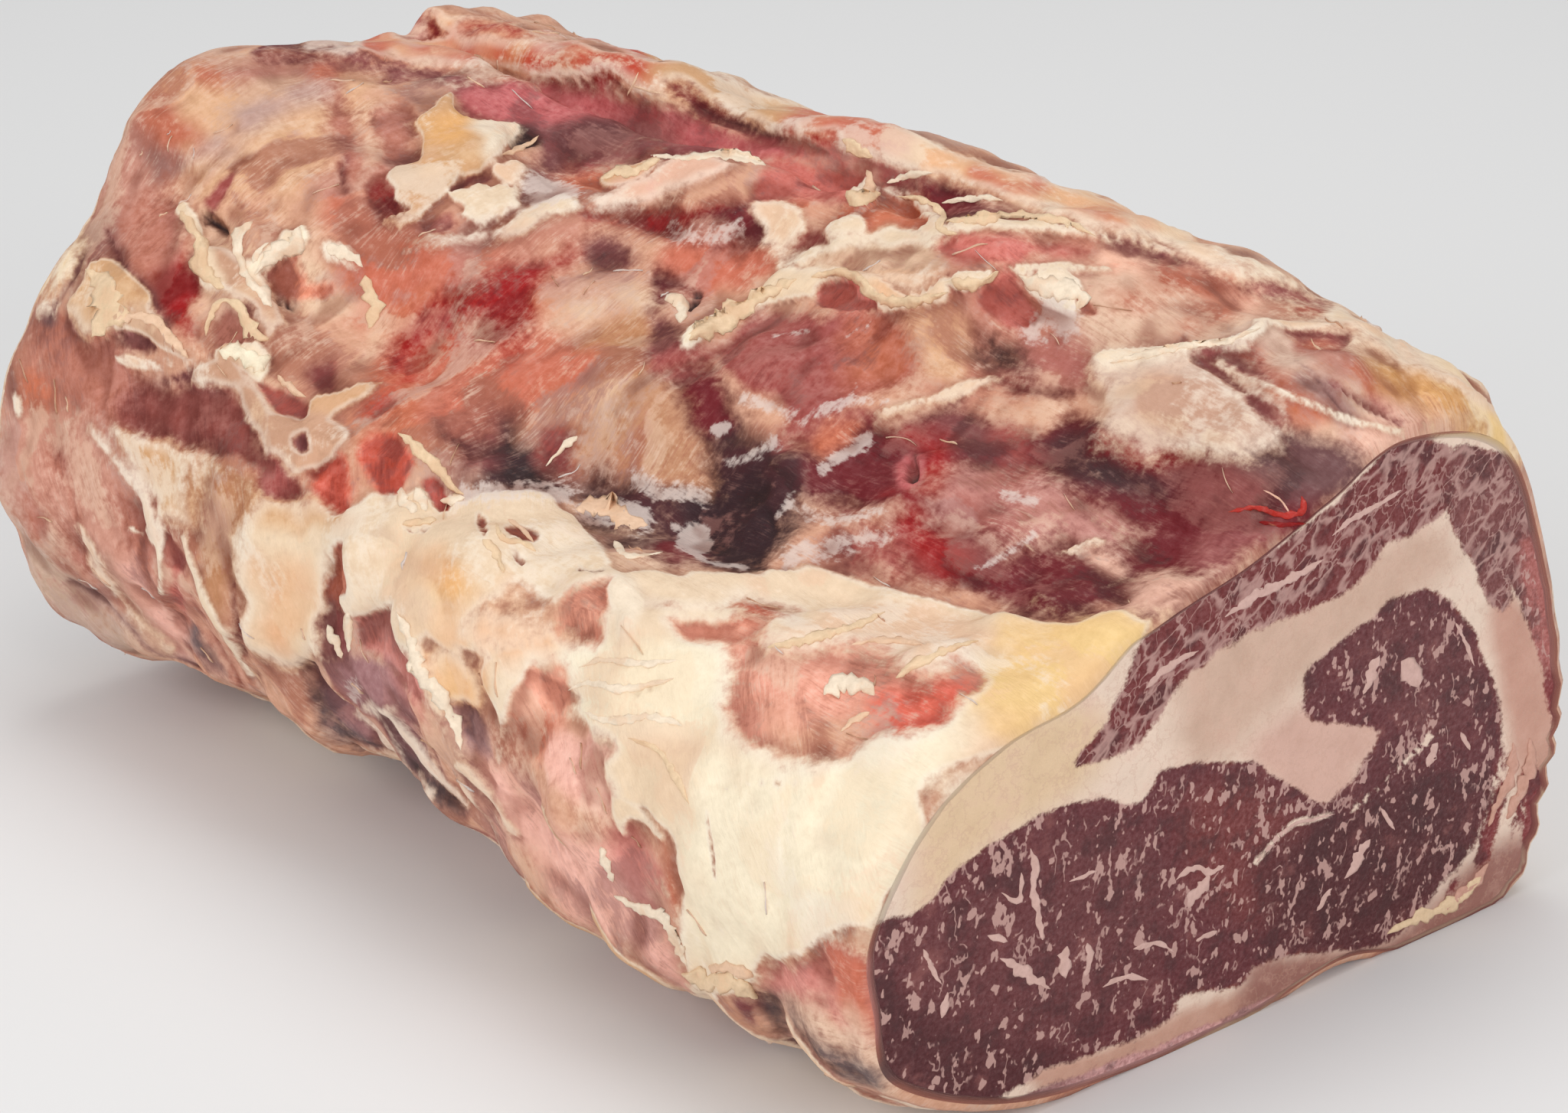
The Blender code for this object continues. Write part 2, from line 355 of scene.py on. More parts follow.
def outward_at(u):
    """Unit vectors that point out of the outline, evened over half a place each way."""
    total = np.zeros(u.shape + (2,))
    for shift in (-0.6, -0.3, 0.0, 0.3, 0.6):
        along = outline_at(u + shift + 0.05) - outline_at(u + shift - 0.05)
        total += np.stack([-along[..., 1], along[..., 0]], -1)
    return total / np.linalg.norm(total, axis=-1, keepdims=True)


# %% Swellings, lip, bands and torn edges
def form(u, s):
    height = 0 * (u + s)
    for _, name, wide, share, reach, mm in FORM:
        round_it = bell(round_trip(u - place(name)) / wide)
        height = height + mm * MM * round_it * bell((s - share) / reach)
    return height


def lip(u, s):
    """Rise of the lip with its crevice, and the lean of the lip over it."""
    name, near, far = LIP_AT
    off = round_trip(u - place(name) - near - (far - near) * s)
    roll = bell(off / LIP_WIDTH) * rise(s, 0.04, 0.25)
    ahead = (off + CREVICE_AHEAD) / CREVICE_WIDTH
    fold = bell(ahead) * rise(s, CREVICE_STARTS, CREVICE_STARTS + 0.2)
    fold = fold * (1 - 0.7 * rise(s, 0.88, 0.98))
    return LIP_RISE * roll - CREVICE_DEPTH * fold, LIP_OVER * roll * rise(s, 0.15, 0.45)


def bands(u, s):
    """Swellings between the rib beds, with a crease between each two."""
    off = round_trip(u - place(BAND_MIDDLE))
    height = 0 * (u + s)
    for share in BANDS:
        height = height + bell((s - share - BAND_SLANT * off) / BAND_WIDTH)
    height = BAND_HEIGHT * (1.6 * np.clip(height, 0, 1) - 0.9)
    return height * bell(off / BAND_REACH) * rise(s, 0.15, 0.22)


def fat_step(u, s):
    """The front side's fat stands above the bare meat along its torn edge."""
    shares_of_edge = np.array([share for share, _ in FAT_EDGE])
    above = np.array([places for _, places in FAT_EDGE])
    edge = place("shoulder") + np.interp(s, shares_of_edge, above)
    off = round_trip(u - edge)
    step = 0.5 - 0.5 * np.tanh(off / FAT_STEP_WIDTH)
    return FAT_STEP * step * bell(np.minimum(off, 0) / 1.2) * (1 - rise(s, 0.5, 0.68))


def relief(u, s):
    height = 0 * (u + s)
    for _, name, offset, share, wide, along, mm in RELIEF:
        round_it = bell(round_trip(u - place(name) - offset) / wide)
        height = height + mm * MM * round_it * bell((s - share) / along)
    off = round_trip(u - place(SHEETS_AT))
    sheets = np.sin(off / SHEETS_APART * 2 * np.pi) * bell(off / 0.8)
    return height + SHEET_HEIGHT * sheets * (1 - rise(s, 0.02, SHEETS_END))


def unevenness(x, y, z):
    """Soft seeded waves in space, as the surface of cut and torn meat has."""
    chance = np.random.default_rng(FORM_SEED)
    total = 0 * x
    for size, height, count in WAVES:
        for _ in range(count):
            way = chance.normal(size=3)
            way *= 2 * np.pi / (size * MM * np.linalg.norm(way))
            turn = chance.uniform(0, 2 * np.pi)
            wave = np.sin(way[0] * x + way[1] * y + way[2] * z + turn)
            total = total + wave * height * MM / np.sqrt(count)
    return total


# %% The loft
def rounding(distance, radius):
    """How far a rounded edge stands back at a distance from its face."""
    t = 1 - np.clip(distance / radius, 0, 1)
    return radius * (1 - np.sqrt(1 - t * t))


def shares(rows):
    """Shares of the way from the marbled cut to the far one, closer together at both."""
    s = np.linspace(0, 1, rows)
    return s - CROWDING * np.sin(2 * np.pi * s) / (2 * np.pi)


def surface(u, s):
    """Points of the skin at places u round the meat and shares s of the way along it."""
    out = outward_at(u)
    lip_rise, lip_over = lip(u, s)
    grown = form(u, s) * rise(s, -FORM_SETTLES / 2, FORM_SETTLES)
    grown = grown + lip_rise + bands(u, s) + fat_step(u, s) + relief(u, s)
    core = outline_at(u) + out * grown[..., None]
    x = LENGTH * (0.5 - s) + 0 * grown
    y = core[..., 0] - lip_over
    z = core[..., 1]
    skin = unevenness(x, y, z) * rise(s, 0.0, FORM_SETTLES)
    skin = skin - rounding(s * LENGTH, CUT_EDGE) - rounding((1 - s) * LENGTH, FAR_EDGE)
    y = y + out[..., 0] * skin
    z = z + out[..., 1] * skin
    x = x - rise(s, 0.2, 1.0) * FAR_CUT_LEAN * (z - LEAN_PIVOT)
    return np.stack([x, y, np.maximum(z, SOLE)], -1)


# %% [markdown]
# ## The fine skin
# The solid model has mesh lines every few millimetres. The skin that shows has them about every
# millimetre where the fat is torn, and wider apart underneath and behind, where it is smooth.
# That is close enough for torn edges, creases and fibres to be real shape and not only paint.

# %% Mesh lines of the fine skin
FINE_STEPS = {
    "keel": 14,
    "front_foot": 24,
    "toe": 17,
    "low_belly": 15,
    "belly": 20,
    "shoulder": 19,
    "bench": 19,
    "fat_ridge": 19,
    "valley": 22,
    "spinalis": 20,
    "cap": 24,
    "crest": 24,
    "back_shoulder": 14,
    "back_upper": 11,
    "back_belly": 9,
    "back_low": 12,
    "back_foot": 9,
    "heel": 6,
    "notch": 8,
}
FINE_ROWS = 258
fine_u = np.concatenate(
    [k + np.arange(FINE_STEPS[name]) / FINE_STEPS[name] for k, name in enumerate(PLACES)]
)
fine_s = shares(FINE_ROWS)
solid_grid = surface(np.arange(0, len(PLACES), 1 / 6)[None, :], shares(200)[:, None])
frame_shift = np.array(
    (
        roast_high[0] - LENGTH / 2 - CUT_SWELL,
        roast_high[1] - solid_grid[..., 1].max(),
        roast_low[2] - SOLE,
    )
)
base = surface(fine_u[None, :], fine_s[:, None]) + frame_shift
print("fine skin:", base.shape[0], "rings of", base.shape[1], "points")
print("shift in mm:", np.round(frame_shift * 1000, 2))


def grid_normals(grid):
    """Unit normals of a grid that closes on itself round the meat."""
    along = np.gradient(grid, axis=0)
    round_it = (np.roll(grid, -1, axis=1) - np.roll(grid, 1, axis=1)) / 2
    normal = np.cross(round_it, along)
    return normal / (np.linalg.norm(normal, axis=-1, keepdims=True) + 1e-12)


normals = grid_normals(base)
outwards = np.sign(np.mean(normals[..., 2] * (base[..., 2] - base[..., 2].mean())))
normals = normals * outwards
print("normals look out of the meat:", bool(outwards > 0))

# %% [markdown]
# ## Chance that repeats
# Torn edges, fibres and lumps are uneven, but they must come out the same each time. Lattice noise
# gives each corner of a grid in space a fixed random number and blends between the corners.


# %% Lattice noise
def corner_chance(ix, iy, iz, seed):
    mixed = (ix * 73856093) ^ (iy * 19349663) ^ (iz * 83492791) ^ (seed * 2654435761)
    mixed = (mixed ^ (mixed >> 13)) * 1274126177 & 0x7FFFFFFF
    mixed = (mixed ^ (mixed >> 16)) * 668265263 & 0x7FFFFFFF
    return mixed / 0x3FFFFFFF - 1


def noise(points, size, seed, octaves=2):
    """Soft random values, about -1 to 1, whose lumps are `size` across."""
    total = np.zeros(points.shape[:-1])
    weight = 1.0
    for octave in range(octaves):
        spot = points / size + 31.7 * octave
        cell = np.floor(spot).astype(np.int64)
        part = spot - cell
        ease = part * part * part * (part * (part * 6 - 15) + 10)
        value = 0
        for corner in range(8):
            step = np.array((corner & 1, corner >> 1 & 1, corner >> 2 & 1))
            share = np.prod(np.where(step == 1, ease, 1 - ease), axis=-1)
            at = cell + step
            value = value + share * corner_chance(at[..., 0], at[..., 1], at[..., 2], seed + octave)
        total += value * weight
        weight *= 0.5
        size = size / 2
    return total * 1.4


# %% [markdown]
# ## Tones
# Each tissue has its own few tones, named here once. Fat runs from white through cream to amber,
# lean from bright red where it was just torn to dark purple where the air has reached it.


# %% Named tones
def tone(code):
    """Linear colour of a screen colour written as red, green and blue in hex."""
    parts = np.array([int(code[k : k + 2], 16) for k in (0, 2, 4)]) / 255
    return np.where(parts <= 0.04045, parts / 12.92, ((parts + 0.055) / 1.055) ** 2.4)


TONES = {
    "salmon": "d9a487",
    "peach": "dfae88",
    "dusty pink": "c48a78",
    "flank pink": "cf9480",
    "grey brown": "c8a893",
    "orange": "cb7050",
    "rust": "bd6a50",
    "cream pink": "e6c1a2",
    "pink cream": "e2bda3",
    "tan": "bf865f",
    "rough tan": "c18c6a",
    "oval pink": "e9b8a2",
    "cream": "e8ceb0",
    "front cream": "f4e5c9",
    "white fat": "efdcc4",
    "flap cream": "cf9f74",
    "amber": "e6ad6e",
    "tan cream": "d2a174",
    "flake cream": "e6c8a4",
    "yellow": "eec98c",
    "lip peach": "e9b58b",
    "fluff": "c69b84",
    "silver": "c29c8f",
    "film": "dfd0c8",
    "red": "a01a1b",
    "wet red": "b12d24",
    "bright red": "c24a3c",
    "salmon red": "cc7057",
    "wine": "9c5553",
    "dark wine": "824645",
    "burgundy": "6e1820",
    "plum": "4c2226",
    "black plum": "30151b",
    "smooth red": "a2504a",
    "brown red": "be7864",
    "deep brown red": "924b43",
    "lilac grey": "96665c",
    "grey purple": "8a6563",
    "slate": "685556",
    "dusky": "6e4747",
    "coral": "eca58e",
    "light coral": "ffb69b",
    "pale coral": "f6bcaa",
    "bright coral": "e66e5a",
    "light salmon": "f29c7e",
    "haze pink": "c78b80",
    "brick pink": "dd9084",
    "brick red": "d4766a",
    "deep wet red": "880404",
    "rose wine": "c86868",
    "dull salmon": "c78671",
    "dull cream": "c4967a",
    "rose": "b1695f",
    "mauve": "a98482",
    "mauve grey": "a57474",
    "lip red": "bc422c",
    # Painted shade: the near-black of the crevice, pits and holes, laid over their sunken shape.
    "pit": "3a1512",
}
print(len(TONES), "tones")

# %% [markdown]
# ## Patches on the skin
# What the knife left is a patchwork: windows onto bare lean, membrane, thick fat, films of
# silverskin and holes. Each patch is named and outlined by a few points in photo pixels. It has
# a tissue, a tone, how soft its edge is in millimetres and how far it stands up or sinks. Lists of
# Python tuples would do, but a written table is easier to read: a line a patch, and an outline
# that doesn't fit runs on below, set in by two spaces.


# %% Reading a table
def number_or_word(text):
    return float(text) if text.lstrip("-").replace(".", "").isdigit() else text


def rows(table):
    """Rows of a written table: a name, its values, and an outline or a path in photo pixels."""
    lines = table.strip().replace("\n  ", " ").splitlines()
    parts = [line.split(": ") for line in lines]
    return [(name, *map(number_or_word, values.split(", ")), path) for name, values, path in parts]


# %% Soft tints of the membrane
PATCHES = rows(
    """
far corner dome: skin, peach, 5, 0: 190,130 230,80 300,72 420,75 470,110 440,190 380,230 300,250
  230,240 190,180
left shoulder: skin, dusty pink, 5, 0: 190,165 230,210 215,260 150,320 100,320 110,280 150,200
left flank: skin, flank pink, 7, 0: 50,430 150,540 260,800 330,950 200,850 100,800 30,700 5,600
  20,500
low left flank: skin, grey brown, 5, 0: 30,690 120,760 190,840 120,830 40,760
orange membrane: skin, orange, 5, 0: 440,330 560,300 700,380 700,500 560,560 480,560 440,500 500,420
salmon lobes: skin, cream pink, 4, 0: 340,330 430,330 470,420 440,520 350,500 330,400
cream between the strands: skin, cream pink, 3, 0.3: 262,320 300,300 330,340 380,330 440,340 420,400
  350,470 300,450 262,400
pale over the lobes: skin, cream pink, 3, 0: 390,320 470,330 500,400 470,440 400,400
pale middle: skin, dull salmon, 5, 0: 1180,400 1300,340 1460,330 1500,420 1440,480 1200,520
pale right: skin, pink cream, 5, 0: 1440,330 1600,350 1750,420 1880,520 1830,580 1700,580 1550,590
  1440,560
membrane over the bright red: skin, dull salmon, 4, 0: 480,300 700,270 760,300 700,350 560,360
  500,380
membrane under the dark window: skin, cream pink, 4, 0: 600,640 760,650 900,745 700,760 560,700
"""
)

# %% Lip and the meat under it
# The crevice and the pit by the flap take the pit tone: painted shade over sunken shape.
# The rounded end of the lip is darkened in salmon red: painted shade where it turns away.
PATCHES += rows(
    """
lip: fat, lip peach, 1, 0.8: 463,40 500,0 740,50 870,80 1400,245 1560,310 1850,452 1950,530 1990,600
  1905,588 1850,500 1750,432 1650,378 1500,322 1240,236 830,122 690,96 540,86 510,76 480,76
rounded end: fat, salmon red, 2, 0: 463,36 478,40 494,60 506,74 484,78 468,64
pink end: fat, oval pink, 1.5, 0: 466,30 490,6 540,16 520,30 505,40 480,34
crimson oval: lean, red, 1, -0.6: 515,44 522,28 540,21 570,22 590,48 545,57 524,55
red along the edge: lean, bright red, 2, 0: 600,32 640,30 722,58 640,48 606,50
amber of the lip: fat, yellow, 2, 0: 640,70 700,66 720,88 760,96 740,104 640,84
cream of the lip: fat, cream pink, 2, 0: 530,66 600,62 640,66 620,82 560,84
orange belly of the lip: fat, lip red, 2.5, 0: 700,64 760,58 812,64 860,92 850,112 712,92
red wash of the lip: fat, lip red, 4, 0: 560,70 700,60 720,72 700,92 580,84
coral wash of the lip: fat, salmon red, 4, 0: 500,20 560,30 620,40 600,56 540,60 490,60
torn red under the lip: lean, deep wet red, 1.5, -0.8: 716,99 790,94 822,104 832,124 724,106
pale lip: fat, flap cream, 2, 0: 850,100 900,95 960,104 1000,132 1060,160 1020,170 960,158
rust of the lip: fat, salmon red, 2, 0: 1050,150 1110,162 1180,182 1150,190 1080,180 1030,168
second rust of the lip: fat, salmon red, 1.5, 0: 1270,226 1330,240 1360,236 1352,256 1300,246
third rust of the lip: fat, orange, 1.5, 0: 1400,280 1470,290 1500,306 1450,304 1400,292
cream by the corner: fat, cream, 3, 0: 1480,300 1700,382 1850,460 1930,520 1740,432 1600,352
  1520,330
yellow corner: fat, yellow, 3, 0.6: 1870,505 1930,528 1985,560 1988,600 1930,590 1890,560
red under the pale lip: lean, deep wet red, 1, -0.8: 858,108 900,120 1000,166 985,172 938,158
  888,134
crevice: lean, pit, 1, -1.2: 905,140 1096,196 1080,201 1020,191 920,156
red in the crevice: lean, bright red, 1, 0: 1030,168 1070,172 1096,182 1096,192 1060,184 1034,178
wine muscle: lean, rose wine, 1.2, -0.4: 600,106 700,106 830,128 1010,182 1120,206 1350,280 1410,294
  1340,288 1290,276 1240,280 1205,258 1160,242 1130,224 1090,213 1030,206 900,206 770,226 740,226
  704,214 700,186 615,150 600,132
dark of the wine muscle: lean, dark wine, 2, 0: 704,180 740,166 800,162 850,176 850,196 740,221
  704,214
pit by the flap: lean, pit, 0.8, -1.5: 660,172 680,177 702,184 692,191 668,191
red under the muscle: lean, smooth red, 1.5, 0: 740,216 800,206 860,196 850,210 800,222 760,228
far edge muscle: lean, burgundy, 0.8, 0: 336,74 350,50 366,46 384,54 520,82
far edge fat: fat, silver, 1, 0: 400,56 440,42 462,34 466,56 456,68 430,64
red streak by the edge: lean, wine, 1, 0: 426,86 450,78 600,92 600,108 560,100 500,104 504,92
muscle strip at the right: lean, wine, 1, -0.3: 1432,299 1470,302 1604,352 1500,339 1462,328
muscle strip by the corner: lean, wine, 1.2, 0: 1620,365 1700,385 1740,400 1700,398 1640,380
"""
)

# %% Flaps, oval and red streaks of the far top
PATCHES += rows(
    """
red beside the flap: lean, brown red, 1.5, -0.6: 486,160 505,138 530,128 546,160 542,196 552,214
  514,224 506,244 528,262 520,286 500,290 474,244 488,218 492,186
deep red beside the flap: lean, red, 1, 0: 476,244 500,240 520,250 524,272 512,284 498,272
red tongue over the flap: lean, brown red, 2, 0: 440,120 480,200 470,230 452,250 430,170
cream flap: fat, flap cream, 0.5, 1.6: 545,158 560,140 590,122 602,150 666,168 672,178 620,234
  600,230 590,250 528,302 504,294 502,284 534,274 514,262 516,248 507,234 516,220 546,209 552,190
amber heart of the flap: fat, amber, 4, 0: 565,165 600,160 620,185 600,205 570,200
pale tip of the flap: fat, white fat, 1.5, 0.5: 626,164 668,170 660,192 636,210 630,186
lower flap: fat, cream, 0.5, 1.3: 586,254 600,248 612,250 624,241 640,245 652,238 664,243 682,249
  677,260 681,271 666,274 658,287 643,284 632,294 614,289 600,285 603,271 593,264
pink flap: fat, cream pink, 0.6, 1: 641,222 648,212 658,214 668,209 680,215 690,226 704,230 718,246
  700,243 690,249 676,242 660,241 652,232
gap between the flaps: lean, deep brown red, 0.6, -1: 586,252 604,232 640,224 636,236 610,240
red over the streaks: lean, wine, 1.2, -0.4: 545,296 580,280 600,290 640,290 600,300 560,306
cream streaks: fat, dull cream, 1.2, 0.5: 524,326 560,306 690,280 740,262 756,270 700,300 580,326
  540,340
grey film by the flaps: skin, lilac grey, 1.5, 0: 690,230 740,232 765,250 740,272 700,268 680,262
cream by the film: fat, cream, 1, 0.5: 676,270 720,262 760,266 740,284 700,290 660,292
peach by the oval: skin, orange, 2, 0: 740,222 800,214 860,206 850,232 800,244 750,246
pale scrap by the oval: fat, flap cream, 0.7, 0.7: 784,238 794,222 826,214 862,206 850,226 812,242
oval: fat, oval pink, 1.2, 1.2: 770,264 840,236 868,214 900,201 936,204 966,214 948,232 820,271
  786,276
red under the oval: lean, red, 1.5, -0.6: 762,276 800,279 930,264 1004,262 1010,290 960,312 900,312
  800,297 768,288
wine under the red: lean, burgundy, 1.5, 0: 900,300 950,270 1000,280 1000,320 950,330 910,324
haze over the red: skin, dusty pink, 2, 0: 880,306 920,292 950,300 940,318 900,322
dark patch in the streaks: lean, dark wine, 1.5, -0.6: 764,318 800,306 832,318 816,346 776,350
muscle behind the flap: lean, brick red, 1.2, -0.3: 984,216 1040,208 1100,215 1132,226 1142,242
  1118,262 1080,264 1036,256 984,264
knob by the muscle: fat, cream, 0.5, 1.4: 1112,246 1134,226 1146,256 1128,271 1112,262
orange membrane behind: skin, orange, 2, 0: 1040,262 1110,266 1150,250 1210,262 1228,280 1200,300
  1140,310 1080,300
cream rim behind: fat, cream, 0.8, 1: 1150,243 1200,256 1228,276 1232,296 1250,300 1222,312 1200,300
  1212,284
first cream patch: fat, cream pink, 1, 0.8: 982,266 1010,262 1036,270 1052,290 1046,320 1022,336
  990,332 1002,300
second cream patch: fat, cream, 0.8, 0.8: 1074,302 1090,286 1120,280 1132,296 1116,320 1092,326
red between the patches: lean, smooth red, 1.2, 0: 1056,300 1070,296 1084,320 1060,330 1040,350
  1034,336
burgundy patch: lean, burgundy, 1.5, 0: 1240,244 1330,275 1236,284 1216,262 1170,250 1200,238
bright red muscle: lean, red, 2.2, -0.8: 498,486 530,440 544,402 572,380 612,360 662,346 744,332
  706,358 684,420 640,440 600,436 570,452 514,494
red fray: lean, red, 2, 0: 624,440 660,430 690,440 680,470 660,500 640,480
red tongue down: lean, bright red, 2, -0.5: 478,546 492,520 556,462 580,450 560,480 504,530 490,560
red lobe: lean, bright coral, 0.9, -1: 468,596 476,576 500,560 530,580 540,604 520,640 505,650
  494,626
red strip: lean, bright coral, 1, -0.8: 404,610 420,586 444,590 450,630 460,650 446,676 420,660
  408,636
pale haze on the red: skin, salmon, 1.5, 0: 600,424 620,416 634,430 626,446 610,440
orange under the red: skin, salmon red, 3, 0: 560,470 640,450 700,500 690,540 620,520 560,540
pink over the fibres: skin, dusty pink, 3, 0: 560,520 640,490 740,450 760,470 700,520 620,540
"""
)

# %% Plate of tan fat, dark window and smooth muscle
PATCHES += rows(
    """
plate of tan fat: skin, tan, 2, 0: 700,512 744,452 800,420 848,408 860,484 890,510 912,560 924,606
  916,642 750,612 734,572 742,542 704,534
rough plate: skin, rough tan, 2, 0.5: 740,600 850,510 890,520 915,575 922,610 914,640 860,634
pale streak on the plate: skin, cream pink, 1.2, 0.4: 744,526 790,500 812,494 806,508 766,532
  740,540
pale streak over the plate: skin, cream pink, 2, 0: 690,430 760,396 830,370 860,400 800,400 740,430
dark window: lean, plum, 2.6, -0.8: 572,552 600,534 650,520 676,540 694,572 744,622 790,618 850,640
  900,644 924,640 924,606 876,478 926,468 948,488 988,562 1010,578 1052,580 1100,602 1176,590
  1192,606 1184,626 1146,650 1100,668 1064,660 1000,734 900,742 826,700 780,690 740,652 700,640
  640,648 606,640 616,600
heart of the dark window: lean, black plum, 3, -0.5: 640,580 670,556 700,580 720,610 690,620 650,616
second heart: lean, black plum, 4, -0.5: 900,680 950,640 1010,630 1030,680 990,720 930,716
wine at the left: lean, wine, 3, 0: 590,548 630,530 664,540 640,580 610,610
red by the streak: lean, smooth red, 1.6, 0: 700,560 722,556 744,580 752,616 728,612 708,584
wine over the window: lean, burgundy, 2, 0: 876,480 920,474 950,500 960,540 930,560 900,530
wine at the foot of the window: lean, burgundy, 2, 0: 862,724 880,708 910,720 900,740 880,742
wine at the right of the window: lean, burgundy, 3, 0: 1060,640 1100,610 1150,640 1110,664 1070,660
smooth muscle: lean, smooth red, 1, 0.3: 936,478 952,446 1000,404 1060,410 1140,408 1172,428
  1198,462 1192,492 1150,512 1112,522 1090,542 1040,552 1008,522 972,506
orange end of the smooth muscle: lean, rust, 4, 0: 1120,430 1160,430 1196,462 1188,492 1140,505
  1116,480
red above the window: lean, smooth red, 1.6, 0: 850,440 876,430 930,450 960,440 950,470 860,480
dark above the window: lean, dark wine, 1.6, -0.5: 848,410 870,416 890,436 862,440 848,430
wine behind the knob: lean, burgundy, 1.5, -0.4: 846,358 880,350 900,372 874,384 868,400 858,390
orange streaks behind the knob: skin, salmon red, 2, 0: 870,330 940,318 1000,330 1000,350 950,372
  900,376
long flap: fat, cream, 0.5, 1.5: 892,456 898,430 940,404 1000,378 1092,322 1120,330 1090,346
  1150,364 1168,380 1200,386 1236,360 1244,376 1232,394 1190,401 1150,399 1100,363 1072,370 1060,386
  986,406 910,452
white side of the long flap: fat, front cream, 1.2, 0.4: 895,450 902,432 1000,394 912,450
peach lobe of the flap: fat, lip peach, 2.5, 0: 1150,356 1190,344 1226,352 1222,374 1190,384
  1164,374
peach behind the long flap: skin, cream pink, 1.5, 0: 1040,345 1100,316 1180,312 1226,340 1200,352
cream behind the long flap: fat, cream, 1, 0.6: 1020,352 1060,326 1120,306 1200,302 1222,320
  1150,318 1090,330
brown lens: lean, brick red, 0.7, -1.2: 1070,388 1084,370 1110,364 1142,396 1084,399
peach membrane: skin, peach, 2, 0: 1190,420 1240,410 1260,440 1250,490 1210,488 1200,456
cream line under the muscle: fat, cream pink, 0.8, 0.8: 1150,534 1260,500 1310,500 1160,544
red fibres by the muscle: lean, smooth red, 2, 0: 1020,560 1080,540 1150,540 1120,560 1060,572
amber spot: skin, orange, 1.5, 0: 1066,574 1090,556 1112,560 1096,582 1074,588
"""
)

